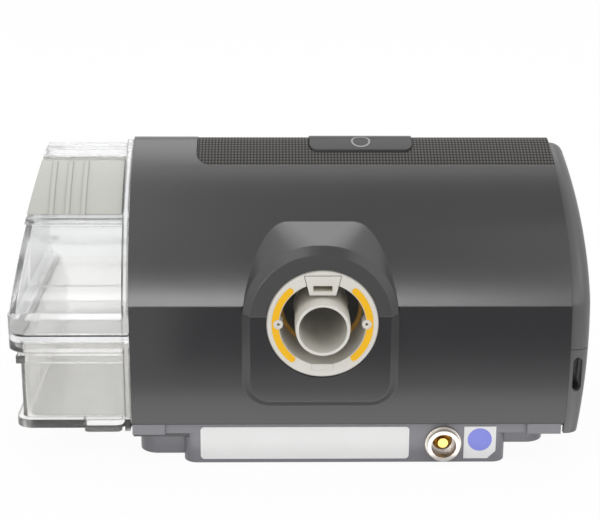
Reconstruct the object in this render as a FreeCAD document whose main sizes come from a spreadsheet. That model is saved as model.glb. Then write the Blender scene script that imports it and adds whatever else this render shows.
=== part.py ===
import FreeCAD, Part
import Sketcher
import math
import os
import re

# A bedside CPAP machine with a clear water tub docked in its side, in millimetres.
# +X is the tub side, +Y the back with the air outlet, +Z up; z = 0 is the table.
# Every size below can be changed by itself; the pieces follow it.
sizes = {
    # casing: an arched back, a tight ridge, a short falling roof and a front that leans back
    "case_height": 115.0,
    "back_y": 66.0,
    "front_y": -75.0,
    "tub_side_x": 61.7,
    "filter_side_x": -98.9,
    "end_bulge": 560.0,
    "end_belly_z": 42.0,
    "seam_z": 16.7,
    "crease_z": 62.65,
    "crease_turn": 12.0,
    "ridge_y": 21.3,
    "ridge_radius": 8.0,
    "roof_fall": 16.0,
    "roof_depth": 21.6,
    "brow_radius": 14.0,
    "corner_z": 26.16,
    "nose_radius": 12.0,
    "front_seam_drop": 1.5,
    "wall": 2.4,
    "gap": 0.2,
    # filter end cover and its three doors
    "cover_x": -106.6,
    "cover_inset": 2.2,
    "cover_bulge": 289.0,
    "cover_belly_z": 49.0,
    "cover_round": 5.0,
    "cover_crease_round": 8.0,
    "door_skirt_z": 12.0,
    "hinge_x": -100.0,
    "hinge_z": 14.4,
    "hinge_barrel": 1.3,
    "hinge_pin": 0.8,
    "ear_width": 3.0,
    "filter_door_front": 12.0,
    "filter_door_top": 45.0,
    "small_door_width": 28.0,
    "small_door_top": 35.0,
    "sd_door_front": -30.0,
    "adapter_door_front": -60.0,
    "slot_width": 4.0,
    "slot_length": 13.0,
    "slot_pitch": 7.0,
    "return_slot_x": -102.3,
    "return_slot_width": 3.4,
    "return_slot_z": 35.4,
    "return_slot_length": 13.2,
    # dotted strip along the ridge, with the start button
    "strip_end_x": 38.0,
    "strip_back_y": 36.0,
    "strip_corner": 5.0,
    "strip_sink": 0.3,
    "strip_depth": 14.0,
    "button_left_x": -42.5,
    "button_length": 38.5,
    "button_front_y": 7.5,
    "button_width": 22.2,
    "button_corner": 3.0,
    "button_rise": 0.3,
    "button_travel": 0.8,
    "button_board_drop": 11.0,
    "board_thickness": 1.6,
    "switch_height": 3.0,
    # port block and outlet
    "outlet_x": -8.2,
    "outlet_z": 56.87,
    "block_proud": 3.0,
    "block_arch": 27.4,
    "block_top_z": 85.6,
    "block_root_y": 40.0,
    "block_root_top_z": 96.5,
    "block_root_arch": 6.0,
    "block_low_x": -35.9,
    "block_high_x": 20.8,
    "block_bottom_z": 24.2,
    "block_corner": 10.0,
    "block_bevel": 2.8,
    "block_seam_z": 59.8,
    "ring_radius": 20.3,
    "ring_bore": 15.6,
    "ring_depth": 5.5,
    "cup_wall": 2.0,
    "cup_floor_y": 44.0,
    "tube_tip_y": 75.0,
    "tube_radius": 10.0,
    "tube_tip_radius": 9.7,
    "tube_lead": 4.0,
    "tube_bore": 8.6,
    "elbow_wall": 1.6,
    "elbow_radius": 14.0,
    "elbow_y": 32.0,
    "marker_inner": 15.9,
    "marker_outer": 18.3,
    "marker_rise": 0.3,
    "boss_radius": 1.7,
    "boss_hole": 0.5,
    "ring_tab_width": 7.7,
    "ring_tab_height": 2.2,
    "contact_width": 13.1,
    "contact_height": 7.1,
    "contact_taper": 1.8,
    "contact_depth": 4.5,
    "contact_slot_width": 6.8,
    "contact_slot_height": 2.0,
    "contact_slot_rise": 2.5,
    "seal_ring": 1.8,
    # plinth under the casing
    "plinth_low_x": -77.0,
    "plinth_high_x": 42.8,
    "plinth_low_y": -64.0,
    "plinth_high_y": 64.5,
    "plinth_bottom_z": 0.8,
    "plinth_corner": 5.0,
    "plinth_wall": 2.2,
    "rim_low_z": 12.6,
    "rim_floor": 2.0,
    "rim_cut_tub": 6.7,
    "rim_cut_filter": 7.5,
    "foot_reach_tub": 16.7,
    "foot_reach_filter": 15.0,
    "foot_bottom_tub": 2.9,
    "foot_bottom_filter": 7.0,
    "foot_round": 7.0,
    "pad_radius": 6.0,
    "pad_inset": 11.0,
    "screw_radius": 1.45,
    "screw_clearance": 0.1,
    "screw_head": 2.8,
    "screw_head_height": 2.2,
    "board_screw_hole": 1.2,
    "screw_inset_x": 7.0,
    "screw_inset_y": 5.5,
    "tab_height": 5.0,
    "tab_reach": 4.6,
    # labels and power inlet
    "label_low_x": -40.9,
    "label_high_x": 36.5,
    "label_low_z": 2.3,
    "label_high_z": 15.1,
    "label_thickness": 0.25,
    "manual_low_x": -73.2,
    "manual_high_x": -61.3,
    "inlet_x": -53.5,
    "inlet_z": 8.6,
    "inlet_collar": 6.7,
    "inlet_radius": 6.06,
    "inlet_bore": 4.6,
    "inlet_throat": 3.7,
    "inlet_proud": 3.5,
    "inlet_depth": 14.0,
    "inlet_pin": 1.9,
    # tub bay and tub
    "bay_end_x": 12.0,
    "liner_clearance": 0.4,
    "liner_wall": 1.6,
    "liner_floor_z": 10.8,
    "tub_clearance": 0.8,
    "tub_end_x": 14.8,
    "tub_wall": 2.0,
    "tub_floor_z": 13.8,
    "tub_base_x": 103.0,
    "tub_top_x": 93.8,
    "tub_side_bulge": 800.0,
    "tub_split_z": 48.0,
    "gasket_height": 1.0,
    "outer_inset": 9.0,
    "base_inset": 7.0,
    "hood_inset": 2.2,
    "flange_x": 106.6,
    "flange_inset": 1.2,
    "flange_height": 8.0,
    "flange_lip": 3.4,
    "flange_corner": 8.0,
    "base_corner": 4.0,
    "collar_thickness": 2.0,
    "collar_inset": 1.0,
    "foot_rim_height": 3.2,
    "foot_rim_inset": 4.0,
    "ledge_z": 39.0,
    "ledge_height": 3.0,
    "latch_top_drop": 6.0,
    "latch_height": 16.6,
    "bar_room": 1.1,
    "bar_height": 2.0,
    "latch_thickness": 2.4,
    "latch_rib": 0.7,
    "latch_rib_width": 1.6,
    "latch_rib_inset": 4.4,
    "latch_rib_pitch": 5.8,
    "latch_pin": 1.0,
    "latch_eye": 1.8,
    "latch_room": 0.4,
    "latch_ear": 2.0,
    "recess_low_z": 67.0,
    "recess_high_z": 86.5,
    "recess_end_x": 98.5,
    "recess_depth": 0.7,
    "plate_thickness": 0.8,
    "port_radius": 7.0,
    "inlet_port_y": -4.0,
    "inlet_port_z": 58.5,
    "seal_width": 2.4,
    "heater_low_x": 19.0,
    "heater_high_x": 43.0,
    "heater_low_y": -38.0,
    "heater_high_y": 40.0,
    "heater_thickness": 1.8,
    "heater_rise": 0.3,
    "spring_inset": 6.5,
    "spring_radius": 3.0,
    "spring_wire": 0.5,
    "spring_turns": 4.0,
    # front panel: screen, dial and home button
    "screen_x": -60.0,
    "screen_z": 70.31,
    "screen_width": 58.0,
    "screen_height": 36.0,
    "screen_corner": 2.5,
    "screen_lip": 2.0,
    "window_thickness": 1.2,
    "module_thickness": 3.5,
    "display_depth": 7.4,
    "dial_x": -8.0,
    "dial_rise": 6.0,
    "dial_radius": 15.0,
    "dial_height": 7.5,
    "dial_travel": 0.8,
    "dial_shaft": 3.0,
    "home_drop": 26.0,
    "home_radius": 4.6,
    "home_travel": 0.5,
    "sensor_radius": 1.6,
    # blower
    "blower_x": -50.0,
    "blower_y": 12.0,
    "blower_floor_z": 38.0,
    "blower_split_z": 54.0,
    "blower_top_z": 70.0,
    "blower_radius": 28.0,
    "blower_wall": 2.2,
    "duct_width": 18.0,
    "blower_inlet": 11.0,
    "impeller_radius": 22.0,
    "impeller_blades": 9,
    "blade_thickness": 1.2,
    "shaft_radius": 1.5,
    "bearing_radius": 4.0,
    "bearing_height": 3.0,
    "bearing_clearance": 0.05,
    "motor_radius": 17.0,
    "motor_low_z": 25.0,
    "rotor_radius": 9.0,
    "mount_radius": 4.5,
    "mount_circle": 22.0,
    # circuit board, filter and intake
    "board_z": 20.0,
    "board_low_x": -84.0,
    "board_high_x": 6.0,
    "board_low_y": -52.0,
    "board_high_y": 50.0,
    "filter_front_y": 20.0,
    "filter_back_y": 56.0,
    "filter_low_z": 24.2,
    "filter_high_z": 43.0,
    "filter_thickness": 7.0,
    "filter_clearance": 0.4,
    "intake_wall": 1.5,
    "intake_x": -88.0,
    "channel_x": -80.0,
    "muffler_low_z": 73.5,
    "muffler_high_z": 90.0,
    "muffler_front_y": -4.0,
    "muffler_back_y": 42.0,
    "muffler_end_x": -20.0,
    "card_width": 24.0,
    "card_length": 32.0,
    "card_thickness": 2.1,
    "card_travel": 1.0,
    "card_x": -94.5,
}

far = 150
tight = 0.5

doc = FreeCAD.newDocument("cpap_machine")
sheet = doc.addObject("Spreadsheet::Sheet", "dims")
for row, (alias, number) in enumerate(sizes.items(), 1):
    sheet.set(f"A{row}", alias)
    sheet.set(f"B{row}", str(number))
    sheet.setAlias(f"B{row}", alias)
derived = doc.addObject("App::VarSet", "derived")
doc.recompute()

homes = {alias: "dims" for alias in sizes}
nodes = {}


def formula(text):
    """Turn the plain names of a size formula into references to the document."""
    return re.sub(r"[a-z]\w*", lambda m: f"{homes[m[0]]}.{m[0]}" if m[0] in homes else m[0], str(text))


def value(text):
    return float(sheet.evalExpression(formula(text)))


def bind(feature, prop, text):
    feature.setExpression(prop, formula(text))


def derive(name, text):
    derived.addProperty("App::PropertyFloat", name)
    bind(derived, name, text)
    homes[name] = "derived"
    doc.recompute([derived])


# Lines and arcs of the casing's side view, shared by everything that follows the casing.
derive("ridge_z", "case_height - ridge_radius")
derive("ridge_reach", "(back_y - ridge_y)^2 + (ridge_z - crease_z)^2 - ridge_radius^2")
derive("ridge_fall",
       "(back_y - ridge_y) * cos(crease_turn) - (ridge_z - crease_z) * sin(crease_turn) - ridge_radius")
derive("back_radius", "ridge_reach / (2 * ridge_fall)")
derive("centre_y", "back_y - back_radius * cos(crease_turn)")
derive("centre_z", "crease_z - back_radius * sin(crease_turn)")
derive("ridge_turn", "asin((ridge_z - centre_z) / (back_radius - ridge_radius)) / 1 deg")
derive("roof_height",
       "(centre_y - ridge_y) * sin(roof_fall) + (ridge_z - centre_z) * cos(roof_fall) + ridge_radius")
derive("brow_corner_y", "ridge_y - roof_depth")
derive("brow_corner_z", "ridge_z + ridge_radius / cos(roof_fall) - roof_depth * tan(roof_fall)")
derive("front_lean", "atan((brow_corner_y - front_y) / (brow_corner_z - corner_z)) / 1 deg")
derive("brow_run", "brow_radius * tan((90 - front_lean - roof_fall) / 2)")
derive("slope_y", "brow_corner_y - brow_run * sin(front_lean)")
derive("slope_z", "brow_corner_z - brow_run * cos(front_lean)")
derive("brow_y", "slope_y + brow_radius * cos(front_lean)")
derive("brow_z", "slope_z - brow_radius * sin(front_lean)")
derive("nose_y", "front_y + nose_radius")
derive("nose_z", "corner_z - nose_radius * tan(front_lean / 2)")
derive("slope_mid_y", "front_y + (screen_z - corner_z) * tan(front_lean)")
derive("slope_mid_z", "screen_z")
derive("tab_low_x", "plinth_low_x + screw_inset_x")
derive("tab_high_x", "bay_end_x - tab_reach - 2 * gap")
derive("tab_back_y", "plinth_high_y - screw_inset_y")
derive("tab_front_y", "plinth_low_y + screw_inset_y")
derive("strip_floor_z", "case_height - strip_depth")
derive("button_board_z", "case_height - button_board_drop")
derive("post_low_x", "button_left_x - 4")
derive("post_high_x", "button_left_x + button_length + 4")
derive("button_mid_x", "button_left_x + button_length / 2")
derive("button_mid_y", "button_front_y + button_width / 2")
derive("switch_top_z", "button_board_z + board_thickness + switch_height")
derive("head_top_z", "plinth_bottom_z + 0.6 + screw_head_height")
derive("mount_low_z", "board_z + 4")
derive("slot_mid_z", "filter_door_top - 8.5")
derive("door_skin_x",
       "cover_x + cover_bulge - sqrt(cover_bulge^2 - (hinge_z - cover_belly_z)^2) + wall / 2")
derive("tray_x", "filter_side_x + 2.2")
derive("dial_hole", "dial_shaft + bearing_clearance")
derive("adapter_y", "adapter_door_front + small_door_width / 2")
derive("home_v", "dial_rise - home_drop")
derive("sensor_x", "screen_x + screen_width / 2 + 4")
derive("sensor_v", "screen_height / 2")
derive("liner_inset", "wall + liner_clearance")
derive("bay_inset", "liner_inset + liner_wall")
derive("tub_inset", "bay_inset + tub_clearance")


def case_line(inset):
    """The casing's side view at a depth, from the front foot over the ridge to the back foot."""
    nose, brow, ridge, back = (f"({name}_radius - ({inset}))" for name in ("nose", "brow", "ridge", "back"))
    front = [
        (f"front_y + ({inset})", "seam_z", None),
        (f"front_y + ({inset})", "nose_z", f"-{nose}"),
        (f"nose_y - {nose} * cos(front_lean)", f"nose_z + {nose} * sin(front_lean)", None),
        (f"slope_y - front_seam_drop * sin(front_lean) + ({inset}) * cos(front_lean)",
         f"slope_z - front_seam_drop * cos(front_lean) - ({inset}) * sin(front_lean)", None),
        (f"brow_y - {brow} * cos(front_lean)", f"brow_z + {brow} * sin(front_lean)", f"-{brow}"),
        (f"brow_y - {brow} * sin(roof_fall)", f"brow_z + {brow} * cos(roof_fall)", None),
    ]
    top = [
        (f"ridge_y - {ridge} * sin(roof_fall)", f"ridge_z + {ridge} * cos(roof_fall)", f"-{ridge}"),
        (f"centre_y + {back} * cos(ridge_turn)", f"centre_z + {back} * sin(ridge_turn)", f"-{back}"),
    ]
    rear = [
        (f"back_y - ({inset})", f"centre_z + sqrt({back}^2 - (back_y - ({inset}) - centre_y)^2)", None),
        (f"back_y - ({inset})", "seam_z", None),
    ]
    return front + (top if value(ridge) > tight else [ridge_corner(inset)]) + rear


def ridge_corner(inset):
    """The sharp corner of the side view where the depth uses up the ridge's radius."""
    back, height = f"(back_radius - ({inset}))", f"(roof_height - ({inset}))"
    reach = f"sqrt({back}^2 - {height}^2)"
    return (f"centre_y - {height} * sin(roof_fall) + {reach} * cos(roof_fall)",
            f"centre_z + {height} * cos(roof_fall) + {reach} * sin(roof_fall)", f"-{back}")


def case_outline(inset, base="seam_z"):
    """The whole side view, closed along its base."""
    line = case_line(inset)
    (front, _, _), (back, _, _) = line[0], line[-1]
    return [(front, base, None)] + line[1:3] + line[4:-1] + [(back, base, None)]


def case_band(outer, inner, first, last):
    """A stretch of the casing's wall between two depths, from one corner of the side view to another."""
    outside = case_line(outer)[first:last + 1]
    inside = case_line(inner)[first:last + 1]
    outside[-1] = outside[-1][:2] + (None,)
    back_again = [inside[-1][:2] + (None,)]
    for here, there in zip(inside[-2::-1], range(len(inside) - 2, -1, -1)):
        bulge = inside[there][2]
        back_again[-1] = back_again[-1][:2] + (f"-({bulge})" if bulge else None,)
        back_again.append(here[:2] + (None,))
    return outside + back_again


def slope_at(z, inset):
    """Where the leaning front lies at a height, at a depth below its surface."""
    return f"(front_y + (({z}) - corner_z) * tan(front_lean) + ({inset}) / cos(front_lean))"


def slab_outline(low, high, inset):
    """A level slice of the side view, between two heights on the leaning front."""
    back = f"back_y - ({inset})"
    return [(slope_at(low, inset), low, None), (slope_at(high, inset), high, None), (back, high, None),
            (back, low, None)]


def rectangle(u0, u1, v0, v1):
    return [(u0, v0, None), (u1, v0, None), (u1, v1, None), (u0, v1, None)]


def rounded(u0, u1, v0, v1, radius):
    """A rectangle with round corners."""
    left, right = f"{u0} + ({radius})", f"{u1} - ({radius})"
    low, high = f"{v0} + ({radius})", f"{v1} - ({radius})"
    return [
        (left, v0, None), (right, v0, radius), (u1, low, None), (u1, high, radius),
        (right, v1, None), (left, v1, radius), (u0, high, None), (u0, low, radius),
    ]


def disc(u, v, radius):
    return (u, v, radius)


def arc_band(u, v, inner, outer, first, last):
    """A piece of a flat ring between two angles."""
    def at(radius, angle):
        return f"{u} + ({radius}) * cos({angle})", f"{v} + ({radius}) * sin({angle})"
    return [at(outer, first) + (outer,), at(outer, last) + (None,),
            at(inner, last) + (f"-({inner})",), at(inner, first) + (None,)]


def centred(name, size):
    return f"{name} - ({size}) / 2", f"{name} + ({size}) / 2"


def new_piece(name, is_node=True):
    piece = doc.addObject("PartDesign::Body", name)
    piece.Label = name
    if is_node:
        nodes[name] = piece
    return piece


def add_arc(sketch, start, end, bulge):
    """An arc between two points; a positive radius turns left on the way, a negative one right."""
    radius = value(bulge)
    chord = end - start
    rise = math.sqrt(max(radius ** 2 - (chord.Length / 2) ** 2, 0.0))
    left = FreeCAD.Vector(-chord.y, chord.x, 0).normalize()
    centre = (start + end) / 2 + left * math.copysign(rise, radius)
    first, last = (start, end) if radius > 0 else (end, start)
    turn = [math.atan2(point.y - centre.y, point.x - centre.x) for point in (first, last)]
    if turn[1] < turn[0]:
        turn[1] += 2 * math.pi
    circle = Part.Circle(centre, FreeCAD.Vector(0, 0, 1), abs(radius))
    edge = sketch.addGeometry(Part.ArcOfCircle(circle, *turn), False)
    fix(sketch, ("Radius", edge), abs(radius), f"abs({bulge})")
    return (edge, 1, 2) if radius > 0 else (edge, 2, 1)


def fix(sketch, what, number, text):
    index = sketch.addConstraint(Sketcher.Constraint(*what, number))
    bind(sketch, f"Constraints[{index}]", text)


def fix_point(sketch, edge, end, u, v):
    """Hold a point at its two distances from the sketch's origin."""
    fix(sketch, ("DistanceX", -1, 1, edge, end), value(u), u)
    fix(sketch, ("DistanceY", -1, 1, edge, end), value(v), v)


def draw_outline(sketch, outline):
    if isinstance(outline, tuple):
        u, v, radius = outline
        centre = FreeCAD.Vector(value(u), value(v), 0)
        edge = sketch.addGeometry(Part.Circle(centre, FreeCAD.Vector(0, 0, 1), value(radius)), False)
        fix(sketch, ("Radius", edge), value(radius), radius)
        fix_point(sketch, edge, 3, u, v)
        return
    points = [FreeCAD.Vector(value(u), value(v), 0) for u, v, _ in outline]
    edges = []
    for (_, _, bulge), start, end in zip(outline, points, points[1:] + points[:1]):
        if bulge:
            edges.append(add_arc(sketch, start, end, bulge))
        else:
            edges.append((sketch.addGeometry(Part.LineSegment(start, end), False), 1, 2))
    for (u, v, _), (edge, start, _), (before, _, end) in zip(outline, edges, edges[-1:] + edges[:-1]):
        sketch.addConstraint(Sketcher.Constraint("Coincident", before, end, edge, start))
        fix_point(sketch, edge, start, u, v)


def new_sketch(piece, plane, level, outlines):
    """A sketch across XY, XZ or YZ at a level, or SLOPE: on the leaning front at a depth."""
    role = "XY_Plane" if plane == "SLOPE" else f"{plane}_Plane"
    sketch = piece.newObject("Sketcher::SketchObject", f"{piece.Name}_sketch")
    sketch.AttachmentSupport = (next(f for f in piece.Origin.OriginFeatures if f.Role == role), [""])
    sketch.MapMode = "FlatFace"
    if plane == "SLOPE":
        sketch.AttachmentOffset = FreeCAD.Placement(FreeCAD.Vector(),
                                                    FreeCAD.Rotation(FreeCAD.Vector(1, 0, 0), 45))
        bind(sketch, "AttachmentOffset.Rotation.Angle", "90 - front_lean")
        bind(sketch, "AttachmentOffset.Base.y", f"slope_mid_y - ({level}) * cos(front_lean)")
        bind(sketch, "AttachmentOffset.Base.z", f"slope_mid_z + ({level}) * sin(front_lean)")
    else:
        bind(sketch, "AttachmentOffset.Base.z", f"-({level})" if plane == "XZ" else level)
    for outline in outlines:
        draw_outline(sketch, outline)
    return sketch


def sweep(piece, kind, plane, low, high, outlines):
    """Pad or pocket a set of outlines between two levels."""
    start = high if plane == "XZ" else low
    feature = piece.newObject(f"PartDesign::{kind}", f"{piece.Name}_{kind.lower()}")
    feature.Profile = new_sketch(piece, plane, start, outlines)
    feature.Reversed = kind == "Pocket"
    bind(feature, "Length", f"({high}) - ({low})")
    piece.Tip = feature
    return feature


def pad(piece, plane, low, high, *outlines):
    return sweep(piece, "Pad", plane, low, high, outlines)


def pocket(piece, plane, low, high, *outlines):
    return sweep(piece, "Pocket", plane, low, high, outlines)


def loft(piece, plane, *stations):
    """A straight-sided loft through outlines of one kind at several levels."""
    feature = piece.newObject("PartDesign::AdditiveLoft", f"{piece.Name}_loft")
    sketches = [new_sketch(piece, plane, level, [outline]) for level, outline in stations]
    feature.Profile = sketches[0]
    feature.Sections = sketches[1:]
    feature.Ruled = True
    piece.Tip = feature
    return feature


def turn(piece, kind, outline):
    """Revolve an outline of (radius, height) points about the piece's own Z axis."""
    feature = piece.newObject(f"PartDesign::{kind}", f"{piece.Name}_{kind.lower()}")
    sketch = new_sketch(piece, "XZ", "0", [outline])
    feature.Profile = sketch
    feature.ReferenceAxis = (sketch, ["V_Axis"])
    feature.Angle = 360
    piece.Tip = feature
    return feature


def dress(piece, kind, size, chosen):
    """Fillet or chamfer the edges that a test picks from the piece so far."""
    doc.recompute()
    base = piece.Tip
    names = [f"Edge{i}" for i, edge in enumerate(base.Shape.Edges, 1) if chosen(edge)]
    feature = piece.newObject(f"PartDesign::{kind}", f"{piece.Name}_{kind.lower()}")
    feature.Base = (base, names)
    bind(feature, "Radius" if kind == "Fillet" else "Size", size)
    piece.Tip = feature
    return feature


def near(a, b):
    return abs(a - b) < 0.01


def edge_on(axis, level):
    """A test for edges that lie wholly at one level of an axis, given as a formula."""
    place = value(level)
    low, high = f"{axis}Min", f"{axis}Max"
    return lambda edge: all(near(getattr(edge.BoundBox, end), place) for end in (low, high))


def edge_at_level(level):
    """A test for edges whose middle lies at a level above the leaning front."""
    lean = math.radians(value("front_lean"))
    out = FreeCAD.Vector(0, -math.cos(lean), math.sin(lean))
    middle = FreeCAD.Vector(0, value("slope_mid_y"), value("slope_mid_z"))
    return lambda edge: near((edge.CenterOfMass - middle).dot(out), value(level))


def set_placement(piece, x, y, z, axis=None, angle=None):
    """Move a piece built about its own origin to its place, turned about an axis."""
    if axis:
        piece.Placement = FreeCAD.Placement(FreeCAD.Vector(), FreeCAD.Rotation(FreeCAD.Vector(*axis), 45))
        bind(piece, "Placement.Rotation.Angle", angle)
    for letter, text in zip("xyz", (x, y, z)):
        bind(piece, f"Placement.Base.{letter}", text)


def combine(kind, name, base, tool, is_node=True):
    """A Cut, Fuse or Common of two pieces, which becomes a piece itself."""
    feature = doc.addObject(f"Part::{kind}", name)
    feature.Label = name
    feature.Base = base
    feature.Tool = tool
    if is_node:
        nodes[name] = feature
    return feature


def on_slope(piece, x, drop, level):
    """Stand a piece on the leaning front: its own Z axis points out of the front."""
    y = f"slope_mid_y + ({drop}) * sin(front_lean) - ({level}) * cos(front_lean)"
    z = f"slope_mid_z + ({drop}) * cos(front_lean) + ({level}) * sin(front_lean)"
    set_placement(piece, x, y, z, (1, 0, 0), "90 - front_lean")


def end_curve(x, bulge, belly, low, high, beyond):
    """The space beyond a bulged end, for cutting the end to its curve."""
    def at(z):
        return f"({x}) + ({bulge}) - sqrt(({bulge})^2 - (({z}) - {belly})^2)"
    return [(at(low), low, f"-({bulge})"), (at(high), high, None), (beyond, high, None),
            (beyond, low, None)]


def trim_case_end(piece):
    pocket(piece, "XZ", f"-{far}", f"{far}",
           end_curve("filter_side_x", "end_bulge", "end_belly_z", "seam_z - 2", "case_height + 1",
                     f"-{far}"))


# Casing
def make_rear_cover():
    """The upright back wall, with the lower half of the port block and two screw tabs."""
    piece = new_piece("rear_cover")
    pad_port_block(piece)
    pad(piece, "YZ", "filter_side_x", "tub_side_x", case_band("0", "wall", 8, 9))
    open_port_block(piece)
    pocket(piece, "XZ", f"-{far}", f"{far}",
           rectangle("block_low_x", "block_high_x", "block_seam_z", f"{far}"))
    add_screw_tabs(piece, "tab_back_y", "tab_back_y - tab_reach", "back_y - wall")
    trim_case_end(piece)


def add_screw_tabs(piece, screw_y, low_y, high_y):
    """Two ledges inside the wall that the case screws bite into from below."""
    for x in ("tab_low_x", "tab_high_x"):
        pad(piece, "XY", "seam_z + gap", "seam_z + gap + tab_height",
            rectangle(*centred(x, "2 * tab_reach"), low_y, high_y))
        pocket(piece, "XY", "seam_z", "seam_z + gap + tab_height + 1",
               disc(x, screw_y, "screw_radius + screw_clearance"))


def block_outline(grow, top="block_top_z", arch="block_arch"):
    """The port block's front view: an arch over a base with round lower corners."""
    low, high, base = f"block_low_x - ({grow})", f"block_high_x + ({grow})", f"block_bottom_z - ({grow})"
    top, arch, corner = f"{top} + ({grow})", f"({arch} + ({grow}))", f"(block_corner + ({grow}))"
    return [
        (f"{low} + {corner}", base, None),
        (f"{high} - {corner}", base, corner),
        (high, f"{base} + {corner}", None),
        (high, f"{top} - {arch}", arch),
        (f"{high} - {arch}", top, None),
        (f"{low} + {arch}", top, arch),
        (low, f"{top} - {arch}", None),
        (low, f"{base} + {corner}", corner),
    ]


def pad_port_block(piece):
    """The block that stands out of the back, with a rising roof and a bevel round its face."""
    loft(piece, "XZ",
         ("block_root_y", block_outline("0", "block_root_top_z", "block_root_arch")),
         ("back_y", block_outline("0")),
         ("back_y + block_proud", block_outline("-block_bevel")))


def open_port_block(piece):
    """Hollow the block and open its face for the outlet ring."""
    pocket(piece, "XZ", "0", "back_y + block_proud - wall", block_outline("-(block_bevel + wall)"))
    pocket(piece, "XZ", "back_y - wall", "back_y + block_proud + 1",
           disc("outlet_x", "outlet_z", "ring_radius + gap"))
    pocket(piece, "YZ", f"-{far}", f"{far}", inside_outline())


def inside_outline():
    """The room inside the casing's wall, down to below the seam."""
    return case_outline("wall", "seam_z - 1")


def make_top_cover():
    """The arched back and the ridge, with the upper half of the port block and an opening for the strip."""
    piece = new_piece("top_cover")
    pad_port_block(piece)
    pad(piece, "YZ", "filter_side_x", "tub_side_x", case_band("0", "wall", 3, 8))
    open_port_block(piece)
    pocket(piece, "XZ", "0", f"{far}", rectangle(f"-{far}", f"{far}", "0", "block_seam_z"))
    pocket(piece, "XZ", "back_y", f"{far}", rectangle("block_high_x", f"{far}", "0", "crease_z"))
    pocket(piece, "XY", "strip_floor_z", "case_height + 1", strip_outline("0"))
    trim_case_end(piece)


def strip_outline(shrink):
    """The strip's plan: square at the filter end, with one round corner at the back."""
    end, back = f"strip_end_x - ({shrink})", f"strip_back_y - ({shrink})"
    front = f"slope_y - front_seam_drop * sin(front_lean) + ({shrink})"
    return [
        (f"-{far}", front, None), (end, front, None), (end, f"{back} - strip_corner", "strip_corner"),
        (f"{end} - strip_corner", back, None), (f"-{far}", back, None),
    ]


def button_outline(grow):
    low_x, high_x = f"button_left_x - ({grow})", f"button_left_x + button_length + ({grow})"
    low_y, high_y = f"button_front_y - ({grow})", f"button_front_y + button_width + ({grow})"
    return rounded(low_x, high_x, low_y, high_y, f"(button_corner + ({grow}))")


def keep_inside(piece, low, high, outline):
    """Cut away all of the piece that lies outside a plan outline."""
    pocket(piece, "XY", low, high, rectangle(f"-{far}", f"{far}", f"-{far}", f"{far}"), outline)


def make_top_strip():
    """A sunk strip of dotted plastic along the ridge, with a hole for the start button."""
    piece = new_piece("top_strip")
    pad(piece, "YZ", "filter_side_x", "tub_side_x", case_band("strip_sink", "wall", 3, 8))
    cutter = rectangle(f"-{far}", f"{far}", f"-{far}", f"{far}")
    outline = strip_outline("gap")
    outline[0] = (f"-{far} + 1",) + outline[0][1:]
    outline[-1] = (f"-{far} + 1",) + outline[-1][1:]
    pocket(piece, "XY", "seam_z", "case_height + 1", cutter, outline)
    pocket(piece, "XY", "strip_floor_z", "case_height + 1", button_outline("gap"))
    for x in ("post_low_x", "post_high_x"):
        pad(piece, "XY", "button_board_z + board_thickness", "case_height - wall + 0.5",
            disc(x, "button_mid_y", "2"))
    trim_case_end(piece)


def make_start_button():
    """A long cap that follows the ridge, with a stem over its switch."""
    piece = new_piece("start_button")
    pad(piece, "YZ", "button_left_x", "button_left_x + button_length",
        case_band("-button_rise", "wall", 3, 8))
    keep_inside(piece, "seam_z", "case_height + 2", button_outline("0"))
    pad(piece, "XY", "switch_top_z + button_travel + 0.1", "case_height - wall + 0.5",
        disc("button_mid_x", "button_mid_y", "2"))


def make_start_switch():
    """The small board under the ridge with the switch that the start button presses."""
    piece = new_piece("start_switch")
    pad(piece, "XY", "button_board_z", "button_board_z + board_thickness",
        rounded("post_low_x - 4", "post_high_x + 4", *centred("button_mid_y", "12"), "1"))
    pad(piece, "XY", "button_board_z + board_thickness", "switch_top_z - 0.8",
        rectangle(*centred("button_mid_x", "6"), *centred("button_mid_y", "6")))
    pad(piece, "XY", "switch_top_z - 0.8", "switch_top_z", disc("button_mid_x", "button_mid_y", "1.6"))


def make_front_panel():
    """The leaning front and its nose, with openings for the screen, dial, home button and light sensor."""
    piece = new_piece("front_panel")
    pad(piece, "YZ", "filter_side_x", "tub_side_x", case_band("0", "wall", 0, 3))
    pocket(piece, "SLOPE", "-wall - 1", "1",
           screen_outline("-screen_lip"), disc("dial_x", "dial_rise", "dial_shaft + 1"),
           disc("dial_x", "home_v", "home_radius + gap"),
           disc("sensor_x", "sensor_v", "sensor_radius + gap"))
    pocket(piece, "SLOPE", "-window_thickness - gap", "1", screen_outline("gap"))
    add_screw_tabs(piece, "tab_front_y", "front_y + wall", "tab_front_y + tab_reach")
    trim_case_end(piece)


def screen_outline(grow):
    return rounded(f"screen_x - screen_width / 2 - ({grow})", f"screen_x + screen_width / 2 + ({grow})",
                   f"-(screen_height / 2 + ({grow}))", f"screen_height / 2 + ({grow})",
                   f"(screen_corner + ({grow}) / 2)")


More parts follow.
